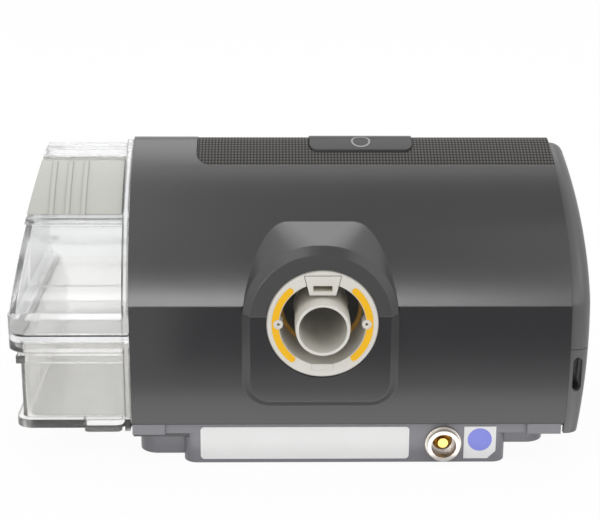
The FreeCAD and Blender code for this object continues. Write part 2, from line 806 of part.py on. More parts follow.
def make_screen():
    window = new_piece("screen_window")
    pad(window, "SLOPE", "-window_thickness - gap", "-gap", screen_outline("0"))
    module = new_piece("lcd_module")
    pad(module, "SLOPE", "-wall - module_thickness", "-wall", screen_outline("-1"))
    board = new_piece("display_board")
    pad(board, "SLOPE", "-display_depth - board_thickness", "-display_depth", display_outline())
    home = ("dial_x", "home_v")
    pad(board, "SLOPE", "-display_depth", "-display_depth + switch_height - 0.8",
        rectangle(*centred(home[0], "6"), *centred(home[1], "6")))
    pad(board, "SLOPE", "-display_depth", "-display_depth + switch_height", disc(*home, "1.6"))
    pocket(board, "SLOPE", "-display_depth - board_thickness - 1", "-display_depth + 1",
           disc("dial_x", "dial_rise", "dial_shaft + 2.5"))
    for x in ("screen_x - screen_width / 2 + 6", "screen_x + screen_width / 2 - 6"):
        pad(board, "SLOPE", "-display_depth", "-wall - module_thickness",
            rectangle(*centred(x, "5"), "-screen_height / 2 + 3", "screen_height / 2 - 3"))
    lens = new_piece("light_sensor_lens")
    pad(lens, "SLOPE", "-wall", "-gap", disc("sensor_x", "sensor_v", "sensor_radius"))
    pad(lens, "SLOPE", "-wall - 0.8", "-wall", disc("sensor_x", "sensor_v", "sensor_radius + 1.2"))


def display_outline():
    return rectangle("screen_x - screen_width / 2 - 3", "dial_x + 12", "home_v - 5",
                     "screen_height / 2 + 2")


def make_home_button():
    piece = new_piece("home_button")
    low = "-display_depth + switch_height + home_travel + 0.1"
    pad(piece, "SLOPE", "-wall - 0.6 - home_travel", "home_travel + 0.3",
        disc("dial_x", "home_v", "home_radius"))
    dress(piece, "Fillet", "0.4", edge_at_level("home_travel + 0.3"))
    pad(piece, "SLOPE", low, "-wall - 0.6 - home_travel", disc("dial_x", "home_v", "1.8"))


def make_dial():
    """A knurled knob that turns on a pressed stem; the stem stands in the encoder behind the front."""
    knob = new_piece("dial_knob")
    turn(knob, "Revolution", [
        ("dial_hole", "0", None), ("dial_radius", "0", None), ("dial_radius", "dial_height - 1.5", "1.5"),
        ("dial_radius - 1.5", "dial_height", None), ("0", "dial_height", None),
        ("0", "dial_height - 1.8", None),
        ("dial_hole", "dial_height - 1.8", None),
    ])
    on_slope(knob, "dial_x", "dial_rise", "dial_travel + gap")
    stem_top = "dial_height - 1.9 + dial_travel + gap"
    stem = new_piece("dial_stem")
    turn(stem, "Revolution", [
        ("0", "-display_depth - 4", None), ("dial_shaft", "-display_depth - 4", None),
        ("dial_shaft", stem_top, None), ("0", stem_top, None),
    ])
    on_slope(stem, "dial_x", "dial_rise", "0")
    encoder = new_piece("dial_encoder")
    top = "-(display_depth + board_thickness)"
    turn(encoder, "Revolution", [
        ("dial_hole", top, None), ("7", top, None), ("7", f"{top} - 7", None),
        ("0", f"{top} - 7", None), ("0", f"{top} - 5", None), ("dial_hole", f"{top} - 5", None),
    ])
    on_slope(encoder, "dial_x", "dial_rise", "0")


# Filter end
def make_cover_block(name, inset, base):
    """The end cover's outer shape at a depth below its surface, bulged outwards and round at its edge."""
    block = new_piece(name, is_node=False)
    pad(block, "YZ", f"cover_x + ({inset})", "filter_side_x + 5",
        case_outline(f"cover_inset + ({inset})", base))
    pocket(block, "XZ", f"-{far}", f"{far}",
           end_curve(f"cover_x + ({inset})", f"cover_bulge - ({inset})", "cover_belly_z", f"{base} - 2",
                     "case_height + 1", f"-{far}"))
    return block


def make_filter_end():
    """The end cover and its doors, all cut from one bulged shell, so that they lie flush."""
    outer = make_cover_block("cover_outside", "0", "door_skirt_z")
    round_cover(outer)
    inner = make_cover_block("cover_inside", "wall", "door_skirt_z - 1")
    shell = combine("Cut", "cover_shell", outer, inner, is_node=False)
    case_side = new_piece("cover_case_side", is_node=False)
    pad(case_side, "XZ", f"-{far}", f"{far}",
        end_curve("filter_side_x - gap", "end_bulge", "end_belly_z", "0", "case_height + 2", "0"))
    skin = combine("Cut", "cover_skin", shell, case_side, is_node=False)
    doorways = new_piece("cover_doorways", is_node=False)
    pad(doorways, "YZ", f"-{far}", "0", rectangle(f"-{far}", f"{far}", "0", "seam_z"))
    for front, back, top in doors().values():
        pad(doorways, "YZ", f"-{far}", "0",
            rectangle(f"{front} - gap", f"{back} + gap", "0", f"{top} + gap"))
    combine("Cut", "side_cover", skin, doorways)
    for name, (front, back, top) in doors().items():
        make_door(name, skin, front, back, top)


def doors():
    """Each door's front edge, back edge and top; all three hang from one line under the cover."""
    return {
        "filter_door": ("filter_door_front", "back_y - cover_inset", "filter_door_top"),
        "sd_card_door": ("sd_door_front", "sd_door_front + small_door_width", "small_door_top"),
        "adapter_door": ("adapter_door_front", "adapter_door_front + small_door_width", "small_door_top"),
    }


def ears(front, back):
    """Where a door's two hinge ears stand along Y."""
    return [(f"{front} + 5", f"{front} + 5 + ear_width"), (f"{back} - 5 - ear_width", f"{back} - 5")]


def round_cover(block):
    """Soften the crease of the back, then round the rim where the bulged face meets the side view."""
    back, middle = value("back_y - cover_inset"), value("filter_door_top")
    dress(block, "Fillet", "cover_crease_round",
          lambda edge: edge.BoundBox.ZMin > middle and near(edge.BoundBox.YMin, back) and edge.BoundBox.ZLength < 1)
    limit = value("cover_x") + 8
    dress(block, "Fillet", "cover_round",
          lambda edge: edge.BoundBox.XMax < limit and edge.BoundBox.ZMax > value("door_skirt_z") + 0.1)


def make_door(name, skin, front, back, top):
    """A door cut from the skin, with a barrel along its foot that turns on a pin between two ears."""
    frame = new_piece(f"{name}_frame", is_node=False)
    pad(frame, "YZ", f"-{far}", "0", rectangle(front, back, "0", top))
    panel = combine("Common", f"{name}_panel", skin, frame, is_node=False)
    barrel = new_piece(f"{name}_barrel", is_node=False)
    (_, low), (high, _) = ears(front, back)
    pad(barrel, "XZ", f"{low} + gap", f"{high} - gap", disc("hinge_x", "hinge_z", "hinge_barrel"))
    pad(barrel, "XZ", f"{low} + gap", f"{high} - gap",
        rectangle("door_skin_x", "hinge_x", "hinge_z - hinge_barrel", "hinge_z + hinge_barrel"))
    pocket(barrel, "XZ", f"{low}", f"{high}", disc("hinge_x", "hinge_z", "hinge_pin + bearing_clearance"))
    if name == "filter_door":
        hung = combine("Fuse", f"{name}_hung", panel, barrel, is_node=False)
        combine("Cut", name, hung, make_air_slots())
    else:
        combine("Fuse", name, panel, barrel)


def make_air_slots():
    """Upright round-ended slots for the air that the blower draws in: a row, and one in the back edge."""
    slots = new_piece("air_slots", is_node=False)
    low, high = centred("slot_mid_z", "slot_length - slot_width")
    for place in range(5):
        y = f"back_y - 8 - {place} * slot_pitch"
        for z in (low, high):
            pad(slots, "YZ", f"-{far}", "hinge_x", disc(y, z, "slot_width / 2"))
        pad(slots, "YZ", f"-{far}", "hinge_x", rectangle(*centred(y, "slot_width"), low, high))
    edge = ("back_y - cover_inset - wall - 1", "back_y")
    low, high = centred("return_slot_z", "return_slot_length - return_slot_width")
    for z in (low, high):
        pad(slots, "XZ", *edge, disc("return_slot_x", z, "return_slot_width / 2"))
    pad(slots, "XZ", *edge, rectangle(*centred("return_slot_x", "return_slot_width"), low, high))
    return slots


def make_hinge_pins():
    piece = new_piece("door_hinge_pins")
    for front, back, _ in doors().values():
        (low, _), (_, high) = ears(front, back)
        pad(piece, "XZ", low, high, disc("hinge_x", "hinge_z", "hinge_pin"))


# Base
def make_chassis():
    """The plinth, the rim under the casing, the foot blocks and the ears, posts and floor inside."""
    piece = new_piece("base_chassis")
    pad(piece, "XY", "rim_low_z", "seam_z",
        rectangle("filter_side_x + 1", "tub_side_x - gap", "front_y + gap", "back_y - gap"))
    foot_front, foot_back = "plinth_low_y + 6", "plinth_high_y - 4"
    pad(piece, "XY", "foot_bottom_tub", "rim_low_z",
        rounded("plinth_high_x - foot_round", "plinth_high_x + foot_reach_tub", foot_front, foot_back,
                "foot_round"))
    pad(piece, "XY", "foot_bottom_filter", "rim_low_z",
        rounded("plinth_low_x - foot_reach_filter", "plinth_low_x + foot_round", foot_front, foot_back,
                "foot_round"))
    pad(piece, "XY", "plinth_bottom_z", "rim_low_z", plinth_outline("0"))
    pocket(piece, "XY", "rim_low_z + rim_floor", "seam_z + 1",
           rectangle("filter_side_x + 1 + wall", "tub_side_x - wall", "front_y + wall + gap",
                     "back_y - wall - gap"))
    pocket(piece, "XY", "plinth_bottom_z + plinth_wall", "seam_z", plinth_outline("plinth_wall"))
    pocket(piece, "XY", "liner_floor_z - gap", "seam_z + 1",
           rectangle("bay_end_x - gap", f"{far}", "front_y + liner_inset - gap",
                     "back_y - liner_inset + gap"))
    pocket(piece, "XY", "rim_low_z", "seam_z + 1",
           rectangle("plinth_low_x - rim_cut_filter", "plinth_high_x + rim_cut_tub", "plinth_high_y",
                     "back_y"))
    pocket(piece, "XY", "rim_low_z", "seam_z + 1",
           rectangle("filter_side_x", "hinge_x + 3", "back_y - cover_inset - wall - 2 * gap", "back_y"))
    add_case_posts(piece)
    add_board_posts(piece)
    add_ears(piece)
    pocket(piece, "XZ", "plinth_high_y - plinth_wall - 1", "plinth_high_y + 1",
           disc("inlet_x", "inlet_z", "inlet_radius + gap"))
    for x, y in foot_places():
        pocket(piece, "XY", "0", "plinth_bottom_z + 0.8", disc(x, y, "pad_radius + gap"))


def plinth_outline(inset):
    """The plinth's plan at a distance inside its wall."""
    return rounded(f"plinth_low_x + {inset}", f"plinth_high_x - {inset}", f"plinth_low_y + {inset}",
                   f"plinth_high_y - {inset}", f"plinth_corner - {inset}")


def add_case_posts(piece):
    """Posts that the case screws pass through, each with a recess for the screw's head."""
    for x in ("tab_low_x", "tab_high_x"):
        for y in ("tab_back_y", "tab_front_y"):
            pad(piece, "XY", "plinth_bottom_z", "seam_z", disc(x, y, "screw_head + 1.4"))
            pocket(piece, "XY", "0", "head_top_z", disc(x, y, "screw_head + gap"))
            pocket(piece, "XY", "0", "seam_z + 1", disc(x, y, "screw_radius + screw_clearance"))


def board_posts():
    return [(x, y) for x in ("board_low_x + 12", "board_high_x - 4")
            for y in ("board_low_y + 5", "board_high_y - 5")]


def mount_places():
    return [(f"blower_x + mount_circle * cos({angle})", f"blower_y + mount_circle * sin({angle})")
            for angle in (30, 150, 270)]


def add_board_posts(piece):
    """Posts under the circuit board with blind screw holes, and taller ones for the blower's soft mounts."""
    for x, y in board_posts():
        pad(piece, "XY", "plinth_bottom_z + 1", "board_z", disc(x, y, "3"))
        pocket(piece, "XY", "board_z - 8", "board_z + 1", disc(x, y, "board_screw_hole"))
    for x, y in mount_places():
        pad(piece, "XY", "plinth_bottom_z + 1", "mount_low_z", disc(x, y, "mount_radius"))


def add_ears(piece):
    """Ears along the filter side that hold the doors' hinge pins."""
    for front, back, _ in doors().values():
        for low, high in ears(front, back):
            pad(piece, "XZ", low, high, disc("hinge_x", "hinge_z", "hinge_barrel"))
            pad(piece, "XZ", low, high,
                rectangle("hinge_x", "filter_side_x + 3", "hinge_z - hinge_barrel",
                          "hinge_z + hinge_barrel"))
            pocket(piece, "XZ", f"{low} - 0.1", f"{high} + 0.1", disc("hinge_x", "hinge_z", "hinge_pin"))


def foot_places():
    return [(x, y) for x in ("plinth_low_x + pad_inset", "plinth_high_x - pad_inset")
            for y in ("plinth_low_y + pad_inset + 6", "plinth_high_y - pad_inset - 6")]


def make_rubber_feet():
    piece = new_piece("rubber_feet")
    for x, y in foot_places():
        pad(piece, "XY", "0", "plinth_bottom_z + 0.8", disc(x, y, "pad_radius"))


def make_screws():
    case = new_piece("case_screws")
    for x in ("tab_low_x", "tab_high_x"):
        for y in ("tab_back_y", "tab_front_y"):
            pad(case, "XY", "head_top_z - screw_head_height", "head_top_z", disc(x, y, "screw_head"))
            pad(case, "XY", "head_top_z", "seam_z + gap + tab_height - 0.5", disc(x, y, "screw_radius"))
            pocket(case, "XY", "0", "head_top_z - screw_head_height + 1.2", disc(x, y, "1.1"))
    board = new_piece("board_screws")
    for x, y in board_posts():
        pad(board, "XY", "board_z + board_thickness", "board_z + board_thickness + 1.6", disc(x, y, "2.4"))
        pad(board, "XY", "board_z - 7", "board_z + board_thickness",
            disc(x, y, "board_screw_hole - screw_clearance"))
        pocket(board, "XY", "board_z + board_thickness + 0.8", "board_z + board_thickness + 2",
               disc(x, y, "1"))


def make_main_board():
    """The main circuit board on its posts, with its larger components and the adapter socket."""
    piece = new_piece("main_board")
    top = "board_z + board_thickness"
    pad(piece, "XY", "board_z", top,
        rounded("board_low_x", "board_high_x", "board_low_y", "board_high_y", "2"))
    for x, y in board_posts():
        pocket(piece, "XY", "board_z - 1", f"{top} + 1", disc(x, y, "board_screw_hole"))
    for x, y in mount_places():
        pocket(piece, "XY", "board_z - 1", f"{top} + 1", disc(x, y, "mount_radius + 1"))
    for x, y, wide, deep, high in (("-8", "-30", "16", "16", "1.6"), ("-30", "-36", "10", "12", "2.0"),
                                   ("-6", "-8", "8", "6", "1.4"), ("-12", "36", "12", "10", "8")):
        pad(piece, "XY", top, f"{top} + {high}", rectangle(*centred(x, wide), *centred(y, deep)))
    for x, y in (("-2", "10"), ("-2", "21")):
        pad(piece, "XY", top, f"{top} + 9", disc(x, y, "4"))
    pad(piece, "YZ", "board_low_x - 5", "board_low_x + 6",
        rectangle(*centred("adapter_y", "20"), top, f"{top} + 7"))
    pad(piece, "YZ", "board_low_x", "board_low_x + 6",
        rectangle(*centred("adapter_y", "20"), "board_z", top))
    pocket(piece, "YZ", "board_low_x - 6", "board_low_x + 3",
           rectangle(*centred("adapter_y", "16"), f"{top} + 2", f"{top} + 5"))


def make_power_inlet():
    """The round direct-current inlet in the plinth's back, with a sleeve contact inside."""
    barrel = new_piece("power_inlet")
    face, back = "plinth_high_y + inlet_proud", "plinth_high_y - inlet_depth"
    inside = "plinth_high_y - plinth_wall"
    pad(barrel, "XZ", "plinth_high_y", "plinth_high_y + 1.2", disc("inlet_x", "inlet_z", "inlet_collar"))
    pad(barrel, "XZ", inside, face, disc("inlet_x", "inlet_z", "inlet_radius"))
    pad(barrel, "XZ", back, inside, disc("inlet_x", "inlet_z", "inlet_z - plinth_bottom_z - plinth_wall"))
    pocket(barrel, "XZ", inside, f"{face} + 1", disc("inlet_x", "inlet_z", "inlet_bore"))
    pocket(barrel, "XZ", f"{back} + 2", inside, disc("inlet_x", "inlet_z", "inlet_throat"))
    contact = new_piece("inlet_contact")
    pad(contact, "XZ", f"{back} + 2", f"{face} - 3", disc("inlet_x", "inlet_z", "inlet_pin"))


# Air outlet
derive("contact_low_z", "outlet_z + ring_bore - contact_depth")
derive("contact_slot_z", "contact_low_z + contact_slot_rise")
derive("contact_back_y", "cup_floor_y + cup_wall + 3")
derive("land_y", "cup_floor_y + cup_wall + seal_ring")


def make_outlet():
    """The ring in the port block, the cup behind it and the tube that the hose slides over."""
    ring = new_piece("outlet_ring")
    face = "back_y + block_proud"
    pad(ring, "XZ", f"{face} - ring_depth", face, disc("outlet_x", "outlet_z", "ring_radius"))
    pad(ring, "XZ", "cup_floor_y", f"{face} - ring_depth",
        disc("outlet_x", "outlet_z", "ring_bore + cup_wall"))
    pocket(ring, "XZ", "cup_floor_y + cup_wall", f"{face} + 1", disc("outlet_x", "outlet_z", "ring_bore"))
    pocket(ring, "XZ", "cup_floor_y - 1", f"{face}",
           disc("outlet_x", "outlet_z", "tube_bore + elbow_wall + gap"))
    dress(ring, "Chamfer", "0.6",
          lambda edge: edge_on("Y", face)(edge) and edge.BoundBox.XLength > value("ring_radius * 1.9"))
    for x in boss_places():
        pad(ring, "XZ", f"{face} - ring_depth", face, disc(x, "outlet_z", "boss_radius"))
        pocket(ring, "XZ", f"{face} - 3", f"{face} + 1", disc(x, "outlet_z", "boss_hole"))
    pad(ring, "XZ", f"{face} - 1", f"{face} + marker_rise",
        rectangle(*centred("outlet_x", "ring_tab_width"),
                  *centred("outlet_z - ring_bore - 0.6", "ring_tab_height")))
    pocket(ring, "XZ", "contact_back_y", f"{face} + 1", contact_outline("gap"))
    make_outlet_tube()
    make_markers(face)
    seal = new_piece("outlet_seal")
    turn(seal, "Revolution", [
        ("tube_bore + elbow_wall", "0", None), ("ring_bore", "0", None), ("ring_bore", "seal_ring", None),
        ("tube_bore + elbow_wall", "seal_ring", None),
    ])
    set_placement(seal, "outlet_x", "cup_floor_y + cup_wall", "outlet_z", (1, 0, 0), "-90")
    make_contact_block(face)


def boss_places():
    """The two small bosses on the ring's inner edge, level with the outlet."""
    return ("outlet_x + marker_inner", "outlet_x - marker_inner")


def make_markers(face):
    """Two printed arcs with round ends, each broken by a boss."""
    markers = new_piece("outlet_markers")
    middle = "(marker_inner + marker_outer) / 2"
    for first, last in (("-50", "47"), ("133", "228")):
        pad(markers, "XZ", face, f"{face} + marker_rise",
            arc_band("outlet_x", "outlet_z", "marker_inner", "marker_outer", first, last))
        for angle in (first, last):
            pad(markers, "XZ", face, f"{face} + marker_rise",
                disc(f"outlet_x + {middle} * cos({angle})", f"outlet_z + {middle} * sin({angle})",
                     "(marker_outer - marker_inner) / 2"))
    for x in boss_places():
        pocket(markers, "XZ", f"{face} - 1", f"{face} + 1", disc(x, "outlet_z", "boss_radius + gap"))


def contact_outline(grow):
    """The wedge at the top of the ring for the heated hose's plug."""
    half = f"(contact_width / 2 + {grow})"
    low = f"contact_low_z - {grow}"
    high = f"contact_low_z + contact_height + {grow}"
    return [
        (f"outlet_x - ({half} - contact_taper)", low, None),
        (f"outlet_x + ({half} - contact_taper)", low, None),
        (f"outlet_x + {half}", high, None), (f"outlet_x - {half}", high, None),
    ]


def make_contact_block(face):
    block = new_piece("contact_block")
    pad(block, "XZ", "contact_back_y", f"{face} + gap", contact_outline("0"))
    pocket(block, "XZ", f"{face} - 12", f"{face} + 1",
           rectangle(*centred("outlet_x", "contact_slot_width"),
                     *centred("contact_slot_z", "contact_slot_height")))
    pins = new_piece("contact_pins")
    for x in ("outlet_x - 2.4", "outlet_x", "outlet_x + 2.4"):
        pad(pins, "XZ", f"{face} - 12", f"{face} - 4",
            rectangle(*centred(x, "0.9"), *centred("contact_slot_z", "0.9")))


def make_outlet_tube():
    """The tube that the hose slides over, with a quarter turn behind it that leads to the bay's wall."""
    tube = new_piece("outlet_tube")
    turn_x, mid_y = "outlet_x + elbow_radius", "elbow_y - elbow_radius"
    outside, land_end = "tube_bore + elbow_wall", "tube_tip_y - tube_lead"
    bend(tube, "Revolution", outside, turn_x)
    pad(tube, "YZ", turn_x, "bay_end_x", disc(mid_y, "outlet_z", outside))
    pad(tube, "XZ", "elbow_y", "land_y", disc("outlet_x", "outlet_z", outside))
    pad(tube, "XZ", "land_y", land_end, disc("outlet_x", "outlet_z", "tube_radius"))
    loft(tube, "XZ", (land_end, disc("outlet_x", "outlet_z", "tube_radius")),
         ("tube_tip_y", disc("outlet_x", "outlet_z", "tube_tip_radius")))
    bend(tube, "Groove", "tube_bore", turn_x)
    pocket(tube, "YZ", turn_x, "bay_end_x + 1", disc(mid_y, "outlet_z", "tube_bore"))
    pocket(tube, "XZ", "elbow_y", "tube_tip_y + 1", disc("outlet_x", "outlet_z", "tube_bore"))


def bend(piece, kind, radius, turn_x):
    """A quarter turn of round section from the outlet towards the tub, added or cut away."""
    feature = piece.newObject(f"PartDesign::{kind}", f"{piece.Name}_{kind.lower()}")
    feature.Profile = new_sketch(piece, "XZ", "elbow_y", [disc("outlet_x", "outlet_z", radius)])
    feature.ReferenceAxis = (upright_axis(piece, "elbow_y", turn_x), ["Edge1"])
    feature.Angle = 90
    piece.Tip = feature


def upright_axis(piece, y, x):
    """A sketch with one upright line, to turn or repeat a feature about."""
    axis = new_sketch(piece, "XZ", y, [])
    foot = FreeCAD.Vector(value(x), 0, 0)
    edge = axis.addGeometry(Part.LineSegment(foot, foot + FreeCAD.Vector(0, 1, 0)), False)
    axis.addConstraint(Sketcher.Constraint("Vertical", edge))
    fix_point(axis, edge, 1, x, "0")
    return axis


# Blower
def make_blower():
    """Two halves of the volute with a duct to the bay, the impeller, and the motor hung below."""
    duct_low, duct_high = centred("inlet_port_z", "duct_width")
    halves = {
        "blower_lower": ("blower_floor_z", "blower_split_z", duct_low, "blower_split_z",
                         "blower_floor_z + blower_wall", "blower_split_z + 1"),
        "blower_upper": ("blower_split_z", "blower_top_z", "blower_split_z", duct_high,
                         "blower_split_z - 1", "blower_top_z - blower_wall"),
    }
    for name, (low, high, duct_floor, duct_roof, inside_low, inside_high) in halves.items():
        piece = new_piece(name)
        pad(piece, "XY", low, high, disc("blower_x", "blower_y", "blower_radius"))
        pad(piece, "YZ", "blower_x", "bay_end_x",
            rectangle(*centred("inlet_port_y", "duct_width"), duct_floor, duct_roof))
        pocket(piece, "XY", inside_low, inside_high,
               disc("blower_x", "blower_y", "blower_radius - blower_wall"))
        pocket(piece, "YZ", "blower_x + 5", "bay_end_x + 1",
               rectangle(*centred("inlet_port_y", "duct_width - 2 * blower_wall"),
                         f"{duct_low} + blower_wall", f"{duct_high} - blower_wall"))
    pocket(nodes["blower_lower"], "XY", "blower_floor_z - 1", "blower_split_z",
           disc("blower_x", "blower_y", "bearing_radius"))
    pocket(nodes["blower_upper"], "XY", "blower_split_z", "blower_top_z + 1",
           disc("blower_x", "blower_y", "blower_inlet"))


def make_impeller():
    piece = new_piece("impeller")
    low, high = "blower_floor_z + blower_wall + 4", "blower_top_z - blower_wall - 4"
    pad(piece, "XY", low, f"{low} + 1.6", disc("blower_x", "blower_y", "impeller_radius"))
    pad(piece, "XY", low, high, disc("blower_x", "blower_y", "shaft_radius + 3"))
    blade = pad(piece, "XY", low, high,
                rectangle("blower_x + shaft_radius + 2", "blower_x + impeller_radius - 0.5",
                          *centred("blower_y", "blade_thickness")))
    doc.recompute()
    spun = piece.newObject("PartDesign::PolarPattern", "impeller_blades")
    spun.Originals = [blade]
    spun.Axis = (upright_axis(piece, "blower_y", "blower_x"), ["Edge1"])
    spun.Angle = 360
    spun.Occurrences = int(sizes["impeller_blades"])
    piece.Tip = spun
    pocket(piece, "XY", f"{low} - 1", f"{high} + 1", disc("blower_x", "blower_y", "shaft_radius"))


def make_motor():
    """A cup under the volute with the stator, the rotor on the shaft and two bearings."""
    can = new_piece("motor_housing")
    pad(can, "XY", "motor_low_z", "blower_floor_z", disc("blower_x", "blower_y", "motor_radius"))
    pocket(can, "XY", "motor_low_z + 1.5", "blower_floor_z + 1",
           disc("blower_x", "blower_y", "motor_radius - 1.5"))
    pad(can, "XY", "motor_low_z", "motor_low_z + bearing_height",
        disc("blower_x", "blower_y", "bearing_radius + 1.5"))
    pocket(can, "XY", "motor_low_z - 1", "motor_low_z + bearing_height + 1",
           disc("blower_x", "blower_y", "bearing_radius"))
    stator = new_piece("motor_stator")
    pad(stator, "XY", "motor_low_z + bearing_height + 1", "blower_floor_z - 0.5",
        disc("blower_x", "blower_y", "motor_radius - 1.5"))
    pocket(stator, "XY", "motor_low_z", "blower_floor_z",
           disc("blower_x", "blower_y", "rotor_radius + 0.5"))
    rotor = new_piece("motor_rotor")
    pad(rotor, "XY", "motor_low_z + bearing_height + 1", "blower_floor_z - 1",
        disc("blower_x", "blower_y", "rotor_radius"))
    pad(rotor, "XY", "motor_low_z", "blower_top_z - blower_wall - 4",
        disc("blower_x", "blower_y", "shaft_radius"))
    bearings = new_piece("motor_bearings")
    for low in ("motor_low_z", "blower_floor_z"):
        pad(bearings, "XY", low, f"{low} + bearing_height", disc("blower_x", "blower_y", "bearing_radius"))
        pocket(bearings, "XY", f"{low} - 1", f"{low} + bearing_height + 1",
               disc("blower_x", "blower_y", "shaft_radius + bearing_clearance"))
    mounts = new_piece("blower_mounts")
    for x, y in mount_places():
        pad(mounts, "XY", "mount_low_z", "blower_floor_z", disc(x, y, "mount_radius"))


# Intake
def make_intake():
    """The tray behind the filter door, the channel up from it and the muffler over the blower."""
    piece = new_piece("intake_duct")
    y0 = "filter_front_y - filter_clearance - intake_wall"
    y1 = "filter_back_y + filter_clearance + intake_wall"
    z0, z1 = "filter_low_z - filter_clearance - intake_wall", "filter_high_z + filter_clearance + intake_wall"
    pad(piece, "YZ", "tray_x", "intake_x", rectangle(y0, y1, z0, z1))
    pad(piece, "YZ", "intake_x", "channel_x",
        rectangle("muffler_front_y + 26", "muffler_back_y", z0, "muffler_high_z"))
    pad(piece, "YZ", "channel_x", "muffler_end_x",
        rectangle("muffler_front_y", "muffler_back_y", "muffler_low_z", "muffler_high_z"))
    w = "intake_wall"
    inner = (f"muffler_front_y + 26 + {w}", f"muffler_back_y - {w}")
    pocket(piece, "YZ", "tray_x - 1", f"intake_x - {w}",
           rectangle(f"{y0} + {w}", f"{y1} - {w}", f"{z0} + {w}", f"{z1} - {w}"))
    pocket(piece, "YZ", f"intake_x - {w} - 1", f"intake_x + {w} + 1",
           rectangle(*inner, f"{z0} + 2 * {w}", f"{z1} - 2 * {w}"))
    pocket(piece, "YZ", f"intake_x + {w}", f"channel_x - {w}",
           rectangle(*inner, f"{z0} + 2 * {w}", f"muffler_high_z - {w}"))
    pocket(piece, "YZ", f"channel_x - {w} - 1", f"channel_x + {w} + 1",
           rectangle(*inner, f"muffler_low_z + {w}", f"muffler_high_z - {w}"))
    pocket(piece, "YZ", f"channel_x + {w}", f"muffler_end_x - {w}",
           rectangle(f"muffler_front_y + {w}", f"muffler_back_y - {w}", f"muffler_low_z + {w}",
                     f"muffler_high_z - {w}"))
    pocket(piece, "XY", "muffler_low_z - 1", f"muffler_low_z + {w} + 1",
           disc("blower_x", "blower_y", "blower_inlet"))
    collar = new_piece("blower_inlet_seal")
    pad(collar, "XY", "blower_top_z", "muffler_low_z", disc("blower_x", "blower_y", "blower_inlet + 3"))
    pocket(collar, "XY", "blower_top_z - 1", "muffler_low_z + 1",
           disc("blower_x", "blower_y", "blower_inlet"))
    foam = new_piece("muffler_foam")
    pad(foam, "XY", f"muffler_high_z - {w} - 6", f"muffler_high_z - {w}",
        rectangle(f"channel_x + {w}", f"muffler_end_x - {w}", f"muffler_front_y + {w}",
                  f"muffler_back_y - {w}"))
    air_filter = new_piece("air_filter")
    pad(air_filter, "YZ", f"intake_x - {w} - filter_thickness", f"intake_x - {w}",
        rounded("filter_front_y", "filter_back_y", "filter_low_z", "filter_high_z", "2"))


def make_card():
    """The memory card and its socket behind the small door."""
    y0 = "sd_door_front + (small_door_width - card_width) / 2"
    y1 = f"{y0} + card_width"
    low = "board_z + board_thickness"
    socket = new_piece("sd_socket")
    pad(socket, "YZ", "board_low_x - 5", "card_x + card_length + 3",
        rectangle(f"{y0} - 1.5", f"{y1} + 1.5", low, f"{low} + card_thickness + 2"))
    pocket(socket, "YZ", "board_low_x - 6", "card_x + card_length + card_travel + 0.5",
           rectangle(f"{y0} - gap", f"{y1} + gap", f"{low} + 0.8",
                     f"{low} + 0.8 + card_thickness + 2 * gap"))
    card = new_piece("sd_card")
    pad(card, "XY", f"{low} + 0.8 + gap", f"{low} + 0.8 + gap + card_thickness", [
        ("card_x", y0, None), ("card_x + card_length - 4", y0, None),
        ("card_x + card_length", f"{y0} + 4", None),
        ("card_x + card_length", y1, None), ("card_x", y1, None),
    ])


# Tub bay
derive("collar_x", "tub_side_x + 0.5")
derive("lid_z", "tub_split_z + gasket_height")
derive("flange_top_z", "lid_z + flange_height")
derive("elbow_mid_y", "elbow_y - elbow_radius")
derive("heater_top_z", "tub_floor_z - heater_rise")
derive("heater_low_z", "heater_top_z - heater_thickness")
derive("latch_top_z", "case_height - latch_top_drop")
derive("latch_bottom_z", "latch_top_z - latch_height")
derive("bar_high_z", "latch_bottom_z - bar_room")
derive("bar_low_z", "bar_high_z - bar_height")
derive("latch_turn", "asin((latch_top_z - centre_z - 3) / (back_radius - hood_inset)) / 1 deg")
derive("latch_pin_radius", "back_radius - hood_inset - latch_thickness - latch_eye - latch_room")
derive("latch_pin_y", "centre_y + latch_pin_radius * cos(latch_turn)")
derive("latch_pin_z", "centre_z + latch_pin_radius * sin(latch_turn)")


def make_bay():
    """The lined bay that the tub slides into, with two air ports in its end wall."""
    liner = new_piece("bay_liner")
    pad(liner, "YZ", "bay_end_x", "tub_side_x - 0.3", case_outline("liner_inset", "liner_floor_z"))
    pocket(liner, "YZ", "bay_end_x + liner_wall", f"{far}",
           case_outline("bay_inset", "liner_floor_z + liner_wall"))
    for y, z in ports():
        pocket(liner, "YZ", "bay_end_x - 1", "bay_end_x + liner_wall + 1", disc(y, z, "port_radius"))
    pocket(liner, "XY", "liner_floor_z - 1", "liner_floor_z + liner_wall + 1", heater_outline("0.4"))
    seals = new_piece("port_seals")
    for y, z in ports():
        pad(seals, "YZ", "bay_end_x + liner_wall", "tub_end_x - 0.1",
            disc(y, z, "port_radius + seal_width"))
        pocket(seals, "YZ", "bay_end_x", "tub_end_x + 1", disc(y, z, "port_radius"))
    plate = new_piece("heater_plate")
    pad(plate, "XY", "heater_low_z", "heater_top_z", heater_outline("0"))


def ports():
    """The blower's port into the tub and the tub's port to the outlet."""
    return [("inlet_port_y", "inlet_port_z"), ("elbow_mid_y", "outlet_z")]


def heater_outline(grow):
    return rounded(f"heater_low_x - {grow}", f"heater_high_x + {grow}", f"heater_low_y - {grow}",
                   f"heater_high_y + {grow}", "3")


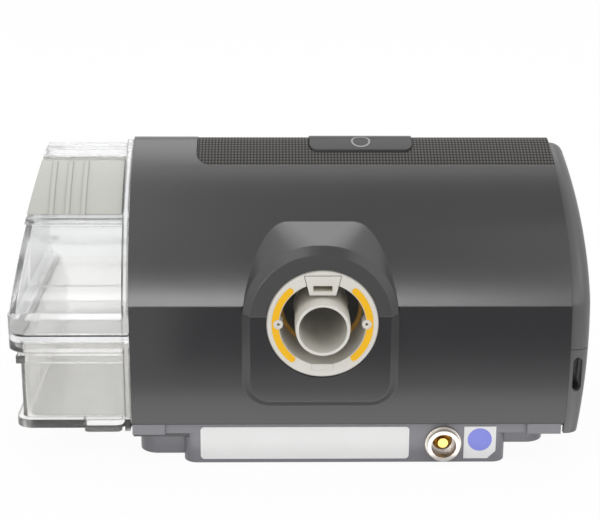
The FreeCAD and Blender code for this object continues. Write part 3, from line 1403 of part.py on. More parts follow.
def make_springs():
    """Four coil springs that hold the heater plate up against the tub."""
    coils = []
    for x in ("heater_low_x + spring_inset", "heater_high_x - spring_inset"):
        for y in ("heater_low_y + spring_inset", "heater_high_y - spring_inset"):
            coil = new_piece(f"spring_{len(coils)}", is_node=False)
            sketch = new_sketch(coil, "XZ", "0", [disc("spring_radius", "spring_wire", "spring_wire")])
            helix = coil.newObject("PartDesign::AdditiveHelix", "coil")
            helix.Profile = sketch
            helix.ReferenceAxis = (sketch, ["V_Axis"])
            helix.Mode = "height-turns-angle"
            bind(helix, "Height", "heater_low_z - plinth_bottom_z - plinth_wall - 2 * spring_wire")
            helix.Turns = sizes["spring_turns"]
            coil.Tip = helix
            set_placement(coil, x, y, "plinth_bottom_z + plinth_wall")
            coils.append(coil)
    group = doc.addObject("Part::MultiFuse", "heater_springs")
    group.Label = "heater_springs"
    group.Shapes = coils
    nodes["heater_springs"] = group


# Tub
def cut_below(piece, level):
    pocket(piece, "XY", f"-{far}", level, rectangle(f"-{far}", f"{far}", f"-{far}", f"{far}"))


def cut_above(piece, level):
    pocket(piece, "XY", level, f"{far}", rectangle(f"-{far}", f"{far}", f"-{far}", f"{far}"))


def round_corners(piece, x, front, back, radius, top="tub_split_z + 1"):
    """Round the two upright corners at the tub's outer end, seen from above."""
    for y, out in ((front, "-1"), (back, "1")):
        near_y, beyond_y = f"{y} - ({out}) * ({radius})", f"{y} + ({out}) * 3"
        bulge = f"({radius})" if out == "-1" else f"-({radius})"
        pocket(piece, "XY", f"-{far}", top, [
            (f"{x} - ({radius})", y, bulge), (x, near_y, None), (f"{x} + 3", near_y, None),
            (f"{x} + 3", beyond_y, None), (f"{x} - ({radius})", beyond_y, None),
        ])


def make_tub_base():
    """The clear lower half: a trough that runs out past the casing, with a foot rim and a flange."""
    piece = new_piece("tub_base")
    pad(piece, "YZ", "collar_x", "flange_x",
        slab_outline("tub_split_z - flange_lip", "tub_split_z", "flange_inset"))
    round_corners(piece, "flange_x", slope_at("tub_split_z - flange_lip", "flange_inset"),
                  "back_y - flange_inset", "flange_corner")
    pad(piece, "YZ", "collar_x", "tub_base_x", case_outline("base_inset", "tub_floor_z"))
    pad(piece, "YZ", "tub_end_x", "collar_x", case_outline("tub_inset", "tub_floor_z"))
    pad(piece, "YZ", "collar_x", "collar_x + collar_thickness", case_outline("collar_inset", "tub_floor_z"))
    cut_above(piece, "tub_split_z")
    round_corners(piece, "tub_base_x", "front_y + base_inset", "back_y - base_inset", "base_corner",
                  "tub_split_z - flange_lip")
    pad(piece, "XY", "tub_floor_z", "tub_floor_z + foot_rim_height",
        rounded("collar_x", "tub_base_x + 2", "front_y + foot_rim_inset", "back_y - foot_rim_inset", "6"))
    pad(piece, "YZ", "collar_x", "tub_base_x + 0.8",
        slab_outline("ledge_z", "ledge_z + ledge_height", "base_inset - 2"))
    pocket(piece, "YZ", "tub_end_x + tub_wall", "collar_x",
           case_outline("tub_inset + tub_wall", "tub_floor_z + tub_wall"))
    pocket(piece, "YZ", "collar_x - 0.01", "tub_base_x - tub_wall",
           case_outline("base_inset + tub_wall", "tub_floor_z + tub_wall"))
    pocket(piece, "XY", "tub_floor_z - 1", "tub_floor_z + tub_wall + 1", heater_outline("0.6"))
    pad(piece, "XY", "tub_floor_z - 3", "tub_floor_z",
        rounded("collar_x + 4", "collar_x + 18", "back_y - 16", "back_y - 7", "2"))


def lid_side(inset):
    """The space beyond the lid's leaning end wall, which swells a little on its way down to the flange."""
    return [(f"tub_top_x - ({inset})", "case_height", "-tub_side_bulge"),
            (f"flange_x - 0.6 - ({inset})", "flange_top_z", None),
            (f"{far}", "flange_top_z", None), (f"{far}", f"{far}", None),
            (f"tub_top_x - ({inset})", f"{far}", None)]


def make_tub_lid():
    """The clear lid: a part that fills the bay and an outer part with a leaning end, a hood and a flange."""
    outside = new_piece("lid_outside", is_node=False)
    pad(outside, "YZ", "collar_x", "flange_x - 0.6", case_outline("hood_inset"))
    pocket(outside, "YZ", f"-{far}", f"{far}", rectangle("ridge_y", f"{far}", "bar_high_z", "latch_top_z"))
    pocket(outside, "YZ", f"-{far}", f"{far}", rectangle("ridge_y", f"{far}", "0", "bar_low_z"))
    pocket(outside, "YZ", f"-{far}", f"{far}", rectangle(f"-{far}", "ridge_y", "0", "latch_bottom_z"))
    pad(outside, "YZ", "collar_x", "flange_x - 0.6", case_outline("outer_inset"))
    pocket(outside, "XZ", f"-{far}", f"{far}", lid_side("0"))
    pad(outside, "YZ", "tub_end_x", "collar_x", case_outline("tub_inset"))
    pad(outside, "YZ", "collar_x", "collar_x + collar_thickness", case_outline("collar_inset"))
    pad(outside, "YZ", "collar_x", "flange_x", slab_outline("lid_z", "flange_top_z", "flange_inset"))
    round_corners(outside, "flange_x", slope_at("lid_z", "flange_inset"), "back_y - flange_inset",
                  "flange_corner", "flange_top_z")
    pocket(outside, "YZ", "collar_x + collar_thickness", "recess_end_x", recess_outline())
    cut_below(outside, "lid_z")
    inside = new_piece("lid_inside", is_node=False)
    pad(inside, "YZ", "collar_x - 0.01", "flange_x - 0.6 - tub_wall",
        case_outline("outer_inset + tub_wall"))
    pocket(inside, "XZ", f"-{far}", f"{far}", lid_side("tub_wall"))
    pad(inside, "YZ", "tub_end_x + tub_wall", "collar_x", case_outline("tub_inset + tub_wall"))
    for y, z in ports():
        pad(inside, "YZ", "tub_end_x - 1", "tub_end_x + tub_wall + 1", disc(y, z, "port_radius"))
    shell = combine("Cut", "lid_shell", outside, inside, is_node=False)
    combine("Fuse", "tub_lid", shell, make_latch_ears())


def recess_outline():
    """A shallow panel sunk into the lid's back wall, as a band along the wall's arc."""
    def at(inset, z):
        return f"centre_y + sqrt((back_radius - ({inset}))^2 - ({z} - centre_z)^2)", z
    outer, inner = "outer_inset - 1", "outer_inset + recess_depth"
    return [at(outer, "recess_low_z") + (f"(back_radius - ({outer}))",), at(outer, "recess_high_z") + (None,),
            at(inner, "recess_high_z") + (f"-(back_radius - ({inner}))",), at(inner, "recess_low_z") + (None,)]


def ear_outline(depth):
    """A web from the latch pin to the lid's wall, square to the casing's arc."""
    def at(along, down):
        return (f"latch_pin_y - ({down}) * cos(latch_turn) - ({along}) * sin(latch_turn)",
                f"latch_pin_z - ({down}) * sin(latch_turn) + ({along}) * cos(latch_turn)")
    reach = "latch_eye"
    return [at(reach, "0") + (None,), at(f"-{reach}", "0") + (None,), at(f"-{reach}", depth) + (None,),
            at(reach, depth) + (None,)]


def make_latch_ears():
    ears_piece = new_piece("latch_ears", is_node=False)
    depth = "latch_pin_radius - (back_radius - outer_inset - 1)"
    for x in latch_ear_places():
        pad(ears_piece, "YZ", x, f"{x} + latch_ear", disc("latch_pin_y", "latch_pin_z", "latch_eye"))
        pad(ears_piece, "YZ", x, f"{x} + latch_ear", ear_outline(depth))
        pocket(ears_piece, "YZ", f"{x} - 1", f"{x} + latch_ear + 1",
               disc("latch_pin_y", "latch_pin_z", "latch_pin + bearing_clearance"))
    return ears_piece


def latch_ear_places():
    return ("collar_x + 7", "tub_top_x - 9")


def make_latch():
    """The grey latch on the lid's shoulder, with three ribs that run down its slope, and its pivots."""
    piece = new_piece("tub_latch")
    low_x, high_x = "collar_x + collar_thickness + 0.4", "flange_x - 6"
    pad(piece, "YZ", low_x, high_x, case_band("hood_inset", "hood_inset + latch_thickness", 7, 8))
    for place in range(3):
        x = f"tub_top_x - latch_rib_inset - {place} * latch_rib_pitch"
        pad(piece, "YZ", x, f"{x} + latch_rib_width",
            case_band("hood_inset - latch_rib", "hood_inset + 1", 7, 8))
    cut_above(piece, "latch_top_z - 2 * latch_room")
    cut_below(piece, "latch_bottom_z")
    pocket(piece, "XZ", f"-{far}", f"{far}", lid_side("0"))
    step = "(latch_ear + 0.3)"
    for x in latch_ear_places():
        for lug in (f"{x} - {step}", f"{x} + {step}"):
            pad(piece, "YZ", lug, f"{lug} + latch_ear", disc("latch_pin_y", "latch_pin_z", "latch_eye"))
            pad(piece, "YZ", lug, f"{lug} + latch_ear", ear_outline("-(latch_eye + latch_room + 0.5)"))
        pad(piece, "YZ", f"{x} - {step}", f"{x} + {step} + latch_ear",
            disc("latch_pin_y", "latch_pin_z", "latch_pin"))


def make_tub_inside():
    """The seal between the halves, the metal floor plate and the tube that leads air into the tub."""
    gasket = new_piece("tub_gasket")
    front = slope_at("tub_split_z", "base_inset + 0.4")
    back = "back_y - base_inset - 0.4"
    pad(gasket, "XY", "tub_split_z", "lid_z", rounded("tub_end_x + 0.4", "tub_base_x + 0.4", front, back,
                                                      "3"),
        rounded("tub_end_x + tub_wall + 0.4", "tub_base_x - tub_wall + 0.2", f"{front} + 2.4",
                f"{back} - 2.2", "1.5"))
    plate = new_piece("tub_plate")
    top = "tub_floor_z + tub_wall"
    pad(plate, "XY", top, f"{top} + plate_thickness",
        rounded("tub_end_x + tub_wall + 0.5", "tub_base_x - tub_wall - 0.6",
                "front_y + base_inset + tub_wall + 1", "back_y - base_inset - tub_wall - 0.6", "5"))
    pad(plate, "XY", "tub_floor_z", top, heater_outline("0.3 - 0.3"))
    air = new_piece("tub_air_tube")
    pad(air, "YZ", "tub_end_x + tub_wall", "tub_end_x + tub_wall + 30",
        disc("inlet_port_y", "inlet_port_z", "port_radius + 1.2"))
    pocket(air, "YZ", "tub_end_x", "tub_end_x + tub_wall + 31",
           disc("inlet_port_y", "inlet_port_z", "port_radius"))


# Labels
def make_labels():
    face = "plinth_high_y"
    rating = new_piece("rating_label")
    pad(rating, "XZ", face, f"{face} + label_thickness",
        rounded("label_low_x", "label_high_x", "label_low_z", "label_high_z", "1.5"))
    manual = new_piece("manual_label")
    pad(manual, "XZ", face, f"{face} + label_thickness", [
        ("manual_low_x", "label_low_z + 3", None), ("manual_low_x + 3", "label_low_z", None),
        ("manual_high_x", "label_low_z", None), ("manual_high_x", "label_high_z", None),
        ("manual_low_x", "label_high_z", None),
    ])


def make_ribbon():
    """The flat lead from the display board down to the main board."""
    piece = new_piece("display_ribbon")
    y = "slope_mid_y + (home_v - 5) * sin(front_lean) + display_depth * cos(front_lean)"
    z = "slope_mid_z + (home_v - 5) * cos(front_lean) - display_depth * sin(front_lean)"
    low = "board_z + board_thickness"
    pad(piece, "YZ", "screen_x - 10", "screen_x + 10", [
        (f"{y} + 0.8", f"{z} - 1.3", None), (f"{y} + 1.2", f"{z} - 1.3", None), (f"{y} + 1.2", low, None),
        (f"{y} + 0.8", low, None),
    ])


def write_parts():
    os.makedirs("parts", exist_ok=True)
    for name, node in nodes.items():
        shape = node.Shape
        if shape.isNull() or not shape.isValid() or not shape.Solids:
            raise RuntimeError(f"{name} is not a valid solid")
    for name, node in nodes.items():
        node.Shape.exportStep(f"parts/{name}.step")


make_rear_cover()
make_top_cover()
make_top_strip()
make_start_button()
make_start_switch()
make_front_panel()
make_screen()
make_home_button()
make_dial()
make_filter_end()
make_hinge_pins()
make_chassis()
make_rubber_feet()
make_screws()
make_main_board()
make_power_inlet()
make_outlet()
make_blower()
make_impeller()
make_motor()
make_intake()
make_card()
make_bay()
make_springs()
make_tub_base()
make_tub_lid()
make_latch()
make_tub_inside()
make_labels()
make_ribbon()
doc.recompute()
for feature in doc.Objects:
    if {"Invalid", "Error"} & set(feature.State):
        raise RuntimeError(f"{feature.Label} did not build: {feature.State}")
write_parts()
for name, node in nodes.items():
    box = node.Shape.BoundBox
    print(f"{name:20s} {len(node.Shape.Solids)} {node.Shape.Volume:10.1f} {box}")
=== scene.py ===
# Bedside breathing machine: finishes, small details, floor, light and camera
import math

import bmesh
import bpy
from mathutils import Matrix, Vector


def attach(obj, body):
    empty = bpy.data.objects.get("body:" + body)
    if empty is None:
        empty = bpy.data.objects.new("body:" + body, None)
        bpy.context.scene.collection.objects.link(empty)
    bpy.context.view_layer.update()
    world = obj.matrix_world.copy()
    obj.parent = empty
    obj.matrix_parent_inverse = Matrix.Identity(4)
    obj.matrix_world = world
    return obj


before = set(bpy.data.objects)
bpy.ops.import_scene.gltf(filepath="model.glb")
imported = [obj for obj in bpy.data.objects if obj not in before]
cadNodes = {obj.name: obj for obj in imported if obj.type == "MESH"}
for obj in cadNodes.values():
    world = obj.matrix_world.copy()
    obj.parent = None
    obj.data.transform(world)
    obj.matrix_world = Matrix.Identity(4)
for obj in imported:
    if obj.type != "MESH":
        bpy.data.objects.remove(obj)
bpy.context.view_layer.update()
print("frame loaded:", len(cadNodes), "pieces")

mm = 0.001
perMetre = 1000  # millimetres
white = (1, 1, 1, 1)


class Wire:  # a socket that takes part in sums
    def __init__(self, finish, socket):
        self.finish = finish
        self.socket = socket

    def maths(self, operation, *values):
        return self.finish.node("ShaderNodeMath", {"operation": operation}, dict(enumerate(values)))

    def __add__(self, other):
        return self.maths("ADD", self, other)

    def __radd__(self, other):
        return self.maths("ADD", other, self)

    def __sub__(self, other):
        return self.maths("SUBTRACT", self, other)

    def __rsub__(self, other):
        return self.maths("SUBTRACT", other, self)

    def __mul__(self, other):
        return self.maths("MULTIPLY", self, other)

    def __rmul__(self, other):
        return self.maths("MULTIPLY", other, self)

    def __truediv__(self, other):
        return self.maths("DIVIDE", self, other)

    def __rtruediv__(self, other):
        return self.maths("DIVIDE", other, self)

    def __pow__(self, other):
        return self.maths("POWER", self, other)

    def __rpow__(self, other):
        return self.maths("POWER", other, self)

    def fraction(self):
        return self.maths("FRACT", self)

    def size(self):
        return self.maths("ABSOLUTE", self)

    def root(self):
        return self.maths("SQRT", self)

    def orMore(self, other):
        return self.maths("MAXIMUM", self, other)

    def above(self, level, soft):  # 0 below the level, 1 above it, over a soft band
        settings = {"interpolation_type": "SMOOTHSTEP"}
        return self.finish.node("ShaderNodeMapRange", settings, {0: self, 1: level - soft, 2: level + soft})


class Finish:  # one material, or the world, and its nodes
    def __init__(self, name, owner=None):
        self.owner = owner or bpy.data.materials.new(name)
        self.owner.use_nodes = True
        self.tree = self.owner.node_tree
        self.tree.nodes.clear()

    def node(self, kind, settings=None, values=None, output=0):
        made = self.tree.nodes.new(kind)
        for name, value in (settings or {}).items():
            setattr(made, name, value)
        for name, value in (values or {}).items():
            if isinstance(value, Wire):
                self.tree.links.new(value.socket, made.inputs[name])
            else:
                made.inputs[name].default_value = value
        return Wire(self, made.outputs[output]) if made.outputs else None

    def place(self):
        return self.node("ShaderNodeTexCoord", output="Object")

    def axis(self, letter):  # one coordinate of the piece, in millimetres
        return self.node("ShaderNodeSeparateXYZ", values={0: self.place()}, output=letter) * perMetre

    def noise(self, size, detail, stretch=(1, 1, 1)):  # size of one patch in millimetres
        scaled = self.node("ShaderNodeVectorMath", {"operation": "MULTIPLY"}, {0: self.place(), 1: stretch})
        values = {"Vector": scaled, "Scale": perMetre / size, "Detail": detail}
        return self.node("ShaderNodeTexNoise", values=values)

    def blend(self, share, first, second):  # colours
        settings = {"data_type": "RGBA"}
        return self.node("ShaderNodeMix", settings, {0: share, 6: first, 7: second}, 2)

    def bump(self, height, depth, under=None):  # depth in millimetres
        values = {"Height": height, "Distance": depth * mm, "Strength": 1.0}
        if under:
            values["Normal"] = under
        return self.node("ShaderNodeBump", values=values)

    def edge(self, radius):  # rounds the look of sharp edges
        return self.node("ShaderNodeBevel", {"samples": 4}, {"Radius": radius * mm})

    def seen(self, *rays):  # 1 for the named kinds of ray
        masks = [self.node("ShaderNodeLightPath", output=f"Is {ray} Ray") for ray in rays]
        mask = masks[0]
        for other in masks[1:]:
            mask = mask.orMore(other)
        return mask

    def surface(self, **sockets):
        names = {name.replace("_", " "): value for name, value in sockets.items()}
        shader = self.node("ShaderNodeBsdfPrincipled", values=names)
        self.node("ShaderNodeOutputMaterial", values={0: shader})
        return self.owner


def shade(colour, factor):
    return tuple(part * factor for part in colour[:3]) + (1,)


# In the dictionaries below sizes are in millimetres, dark and pale are factors of a colour, and swing is
# how much the roughness varies over the surface, from under the rough value upwards.

moulded = {
    "cloudShare": 0.6, "dark": 0.94, "pale": 1.06, "swing": 0.06, "under": 0.03,
    "gapShadeDark": 0.3, "gapShadeSoft": 0.1, "markSoft": 0.03,
}


def mouldedPlastic(name, colour, rough=0.5, grain=0.35, depth=0.02, edge=0.3, patch=30, coat=0.0, seam=None,
                   shine=0.5, mark=None):
    f = Finish(name)
    cloud = f.noise(patch, 3)
    speck = f.noise(grain, 2)
    mottle = cloud * moulded["cloudShare"] + speck * (1 - moulded["cloudShare"])
    tone = f.blend(mottle, shade(colour, moulded["dark"]), shade(colour, moulded["pale"]))
    if seam:  # painted shade in the gap under the piece's foot
        wall = f.axis("Z").above(seam, moulded["gapShadeSoft"])
        tone = f.blend(wall, shade(colour, moulded["gapShadeDark"]), tone)
    if mark:  # a plain printed ring
        across, along = (f.axis("X") - mark["x"]) / mark["wide"], (f.axis("Y") - mark["y"]) / mark["deep"]
        reach = (across ** 2 + along ** 2).root()
        ring = reach.above(mark["inner"], moulded["markSoft"]) * (1 - reach.above(1.0, moulded["markSoft"]))
        tone = f.blend(ring, tone, mark["tone"])
    normal = f.bump(speck, depth, f.edge(edge)) if edge else f.bump(speck, depth)
    return f.surface(Base_Color=tone, Roughness=cloud * moulded["swing"] + (rough - moulded["under"]),
                     Normal=normal, Coat_Weight=coat, Coat_Roughness=rough, Specular_IOR_Level=shine)


def dottedStrip(name, values):
    f = Finish(name)
    across = (f.axis("X") / values["across"]).fraction() - 0.5  # from the middle of each dot
    along = (f.axis("Y") / values["along"]).fraction() - 0.5
    reach = (across ** 2 + along ** 2).root()
    dot = 1 - reach.above(values["radius"], values["soft"])
    cloud = f.noise(values["patch"], 2)
    dotTone = f.blend(cloud, values["dot"], shade(values["dot"], values["pale"]))
    tone = f.blend(dot, values["ground"], dotTone)
    return f.surface(Base_Color=tone, Roughness=values["rough"] - dot * values["swing"],
                     Specular_IOR_Level=values["shine"], Normal=f.bump(dot, values["height"]))


def clearPlastic(name, values):
    f = Finish(name)
    # painted shade: grey bands blended into the tint, standing in for dark bands seen blurred through the
    # tub; streak sets how strongly they show
    band = f.noise(values["patch"], 1, values["stretch"]).above(0.5, values["soft"])
    haze = f.noise(values["wave"], 1)
    tone = f.blend(band * values["streak"], values["tint"], values["shadow"])
    return f.surface(Base_Color=tone, Roughness=haze * values["swing"] + values["rough"], IOR=values["ior"],
                     Transmission_Weight=values["clear"],
                     Normal=f.bump(haze, values["ripple"], f.edge(values["edge"])))


def smokedGlass(name, values):
    f = Finish(name)
    cloud = f.noise(values["patch"], 2)
    tone = f.blend(cloud, values["tone"], shade(values["tone"], values["pale"]))
    return f.surface(Base_Color=tone, Roughness=cloud * values["swing"] + values["rough"],
                     Specular_IOR_Level=values["shine"])


brushed = {
    "line": 0.25, "patch": 20, "lineShare": 0.7, "dark": 0.8, "pale": 1.12,
    "swing": 0.12, "under": 0.06, "depth": 0.004,
}


def brushedMetal(name, colour, rough=0.32, stretch=(1, 0.02, 1)):
    f = Finish(name)
    streak = f.noise(brushed["line"], 3, stretch)
    cloud = f.noise(brushed["patch"], 2)
    mottle = streak * brushed["lineShare"] + cloud * (1 - brushed["lineShare"])
    tone = f.blend(mottle, shade(colour, brushed["dark"]), shade(colour, brushed["pale"]))
    return f.surface(Base_Color=tone, Metallic=1.0, Normal=f.bump(streak, brushed["depth"]),
                     Roughness=streak * brushed["swing"] + (rough - brushed["under"]))


plated = {
    "patch": 6, "dark": 0.85, "pale": 1.1, "swing": 0.15, "under": 0.05,
    "depth": 0.003, "edge": 0.2, "liningSoft": 0.2,
}


def platedMetal(name, colour, rough, lining=None):
    f = Finish(name)
    cloud = f.noise(plated["patch"], 3)
    tone = f.blend(cloud, shade(colour, plated["dark"]), shade(colour, plated["pale"]))
    if lining:  # another metal deep inside
        tone = f.blend(f.axis("Y").above(lining["level"], plated["liningSoft"]), lining["tone"], tone)
    return f.surface(Base_Color=tone, Metallic=1.0,
                     Roughness=cloud * plated["swing"] + (rough - plated["under"]),
                     Normal=f.bump(cloud, plated["depth"], f.edge(plated["edge"])))


rubbery = {"patch": 8, "grain": 0.3, "dark": 0.85, "pale": 1.15, "swing": 0.15, "under": 0.07, "depth": 0.015}


def softRubber(name, colour, rough=0.6):
    f = Finish(name)
    cloud = f.noise(rubbery["patch"], 3)
    fine = f.noise(rubbery["grain"], 2)
    tone = f.blend(cloud, shade(colour, rubbery["dark"]), shade(colour, rubbery["pale"]))
    return f.surface(Base_Color=tone, Roughness=cloud * rubbery["swing"] + (rough - rubbery["under"]),
                     Normal=f.bump(fine, rubbery["depth"]))


def edgedRubber(name, values):  # one tone near its axis, another towards the rim
    f = Finish(name)
    cloud = f.noise(rubbery["patch"], 3)
    across, up = f.axis("X") - values["x"], f.axis("Z") - values["z"]
    rim = (across ** 2 + up ** 2).root().above(values["radius"], values["soft"])
    base = f.blend(cloud, shade(values["middle"], rubbery["dark"]), shade(values["middle"], rubbery["pale"]))
    tone = f.blend(rim, base, values["rim"])
    return f.surface(Base_Color=tone, Roughness=cloud * values["swing"] + values["rough"],
                     Normal=f.bump(cloud, values["depth"]))


def circuitBoard(name, values):
    f = Finish(name)
    wander = f.noise(values["bend"], 0) * values["wander"]
    lines = ((f.axis("X") + wander) / values["pitch"]).fraction().above(values["gap"], values["soft"])
    track = lines * f.noise(values["field"], 1).above(0.5, values["fieldSoft"])
    weave = f.noise(values["weave"], 1)
    base = f.blend(weave, values["board"], shade(values["board"], values["pale"]))
    tone = f.blend(track, base, values["track"])
    return f.surface(Base_Color=tone, Roughness=values["rough"] + weave * values["swing"],
                     Normal=f.bump(track, values["depth"]))


def laminatedIron(name, values):
    f = Finish(name)
    sheet = (f.axis("Z") / values["sheet"]).fraction().above(0.5, values["soft"])
    cloud = f.noise(values["patch"], 2)
    tone = f.blend(sheet, shade(values["tone"], values["dark"]), shade(values["tone"], values["pale"]))
    return f.surface(Base_Color=tone, Metallic=values["metal"], Normal=f.bump(sheet, values["depth"]),
                     Roughness=cloud * values["swing"] + values["rough"])


def openFoam(name, values):
    f = Finish(name)
    cell = f.node("ShaderNodeTexVoronoi", values={"Vector": f.place(), "Scale": values["cellsPerMetre"]})
    tone = f.blend(cell, shade(values["tone"], values["pale"]), shade(values["tone"], values["dark"]))
    return f.surface(Base_Color=tone, Roughness=values["rough"], Normal=f.bump(1 - cell, values["depth"]))


def pleatedFibre(name, values):
    f = Finish(name)
    fold = ((f.axis("Y") / values["pitch"]).fraction() - 0.5).size() * 2  # 0 in the middle, 1 at each side
    fibre = f.noise(values["grain"], 4, values["stretch"])
    mottle = fold * values["foldShare"] + fibre * (1 - values["foldShare"])
    tone = f.blend(mottle, values["low"], values["high"])
    return f.surface(Base_Color=tone, Roughness=values["rough"],
                     Normal=f.bump(fold + fibre * values["fuzz"], values["depth"]))


film = {"grain": 0.6, "patch": 12, "cloudShare": 0.5, "rough": 0.42, "swing": 0.1, "depth": 0.006}


def filmLabel(name, low, high):
    f = Finish(name)
    paper = f.noise(film["grain"], 3)
    cloud = f.noise(film["patch"], 2)
    tone = f.blend(cloud * film["cloudShare"] + paper * (1 - film["cloudShare"]), low, high)
    return f.surface(Base_Color=tone, Roughness=film["rough"] + paper * film["swing"],
                     Normal=f.bump(paper, film["depth"]))


def flatLead(name, values):
    f = Finish(name)
    core = (f.axis("X") / values["pitch"]).fraction().above(0.5, values["soft"])
    tone = f.blend(core, values["film"], values["core"])
    return f.surface(Base_Color=tone, Roughness=values["rough"] + core * values["swing"],
                     Normal=f.bump(core, values["depth"]))


# One casing plastic in four tones, painted light and shade for how light falls on each: the back darkest, the
# top, side cover and plinth paler.
casing = {
    "back": (0.034, 0.0335, 0.036, 1),
    "top": (0.052, 0.051, 0.053, 1),
    "cover": (0.105, 0.104, 0.106, 1),
    "plinth": (0.19, 0.187, 0.205, 1),
    "gloss": (0.04, 0.04, 0.042, 1),
    "seam": 17.15,  # height of the back wall's foot, below which shade is painted
}
smooth = {"rough": 0.3, "depth": 0.003, "edge": 0.6, "shine": 0.25}
pale = {"rough": 0.4, "depth": 0.005, "patch": 15}
buttonMark = {"x": -23.3, "y": 25.2, "wide": 3.6, "deep": 3.1, "inner": 0.82, "tone": (0.3, 0.295, 0.29, 1)}
clearParts = {
    "shadow": (0.55, 0.55, 0.55, 1), "rough": 0.11, "swing": 0.04, "ior": 1.27, "clear": 0.94,
    "patch": 24, "stretch": (1, 1, 0.12), "soft": 0.12, "wave": 9, "ripple": 0.05, "edge": 0.9,
}
goldLining = {"level": 57.5, "tone": (0.83, 0.56, 0.12, 1)}  # level along Y
finishes = {
    "back": mouldedPlastic("casing back, painted shade", casing["back"], 0.2, depth=0.01, edge=0.5, seam=casing["seam"]),
    "top": mouldedPlastic("casing top, painted light", casing["top"], 0.3, coat=0.3, depth=0.01, edge=0.5),
    "side": mouldedPlastic("side cover, painted light", casing["cover"], 0.36, depth=0.01, edge=0.5),
    "plinth": mouldedPlastic("plinth", casing["plinth"], 0.36, depth=0.01),
    "gloss": mouldedPlastic("smooth dark plastic", casing["gloss"], **smooth),
    "button": mouldedPlastic("marked button", casing["gloss"], **smooth, mark=buttonMark),
    "liner": mouldedPlastic("bay lining", (0.05, 0.05, 0.052, 1)),
    "strip": dottedStrip("dotted strip", {
        "across": 1.2, "along": 1.25, "radius": 0.33, "soft": 0.1, "height": 0.1, "patch": 20,
        "ground": (0.02, 0.019, 0.018, 1), "dot": (0.1, 0.094, 0.088, 1), "pale": 1.25,
        "rough": 0.5, "swing": 0.1, "shine": 0.2,
    }),
    "screen": smokedGlass("smoked window", {
        "tone": (0.012, 0.012, 0.014, 1), "pale": 1.5, "patch": 25,
        "rough": 0.05, "swing": 0.03, "shine": 0.3,
    }),
    "outlet": mouldedPlastic("off-white plastic", (0.72, 0.70, 0.645, 1), **pale, edge=0.4),
    "latch": mouldedPlastic("latch plastic", (0.52, 0.53, 0.485, 1), **pale, edge=0.5),
    "yellow": mouldedPlastic("yellow print", (0.95, 0.52, 0.012, 1), grain=0.5, depth=0.004, edge=0,
                             shine=0.15),
    "clear": clearPlastic("clear plastic", {**clearParts, "streak": 0.03, "tint": (0.992, 0.996, 1.0, 1)}),
    # the tub base: clear plastic with stronger painted shade bands
    "shadeBanded": clearPlastic("clear plastic, painted shade bands", {
        **clearParts, "streak": 0.12, "tint": (0.99, 0.986, 0.972, 1),
    }),
    "seal": softRubber("grey silicone", (0.62, 0.62, 0.6, 1), 0.5),
    "rubber": softRubber("black rubber", (0.025, 0.025, 0.027, 1)),
    "cupSeal": edgedRubber("cup seal", {
        "x": -8.2, "z": 56.87, "radius": 14.2, "soft": 0.5, "rough": 0.45, "swing": 0.1, "depth": 0.01,
        "middle": (0.03, 0.028, 0.026, 1), "rim": (0.8, 0.42, 0.03, 1),
    }),
    "steel": brushedMetal("brushed steel", (0.7, 0.7, 0.69, 1)),
    "spring": platedMetal("spring wire", (0.55, 0.55, 0.56, 1), 0.2),
    "screw": platedMetal("zinc plated", (0.5, 0.5, 0.52, 1), 0.35),
    "gold": platedMetal("gold plated", (0.83, 0.55, 0.16, 1), 0.3),
    "nickel": platedMetal("nickel plated", (0.5, 0.47, 0.44, 1), 0.36, goldLining),
    "board": circuitBoard("circuit board", {
        "pitch": 1.6, "bend": 6, "wander": 4, "gap": 0.55, "soft": 0.04, "field": 5, "fieldSoft": 0.02,
        "weave": 0.4, "board": (0.012, 0.09, 0.035, 1), "pale": 1.3, "track": (0.03, 0.2, 0.08, 1),
        "rough": 0.38, "swing": 0.1, "depth": 0.02,
    }),
    "motor": brushedMetal("turned aluminium", (0.6, 0.6, 0.62, 1), 0.3, (0.05, 0.05, 1)),
    "iron": laminatedIron("iron sheets", {
        "tone": (0.1, 0.1, 0.11, 1), "dark": 0.6, "pale": 1.5, "sheet": 0.5, "soft": 0.2, "patch": 3,
        "metal": 0.8, "rough": 0.4, "swing": 0.2, "depth": 0.05,
    }),
    "inner": mouldedPlastic("inner moulding", (0.62, 0.62, 0.6, 1), patch=18),
    "foam": openFoam("foam", {
        "tone": (0.06, 0.06, 0.065, 1), "dark": 0.3, "pale": 1.6, "cellsPerMetre": 900.0,
        "rough": 0.9, "depth": 0.6,
    }),
    "fibre": pleatedFibre("filter fibre", {
        "pitch": 3, "grain": 0.3, "stretch": (1, 0.3, 1), "foldShare": 0.6, "fuzz": 0.2,
        "low": (0.5, 0.53, 0.57, 1), "high": (0.85, 0.87, 0.88, 1), "rough": 0.92, "depth": 0.5,
    }),
    "label": filmLabel("white film", (0.8, 0.8, 0.79, 1), (0.88, 0.88, 0.88, 1)),
    "blue": filmLabel("blue print", (0.2, 0.22, 0.72, 1), (0.24, 0.27, 0.8, 1)),
    "ribbon": flatLead("flat lead", {
        "pitch": 1.25, "soft": 0.1, "film": (0.7, 0.68, 0.6, 1), "core": (0.45, 0.4, 0.3, 1),
        "rough": 0.4, "swing": 0.1, "depth": 0.03,
    }),
}
print("finishes made:", len(finishes))

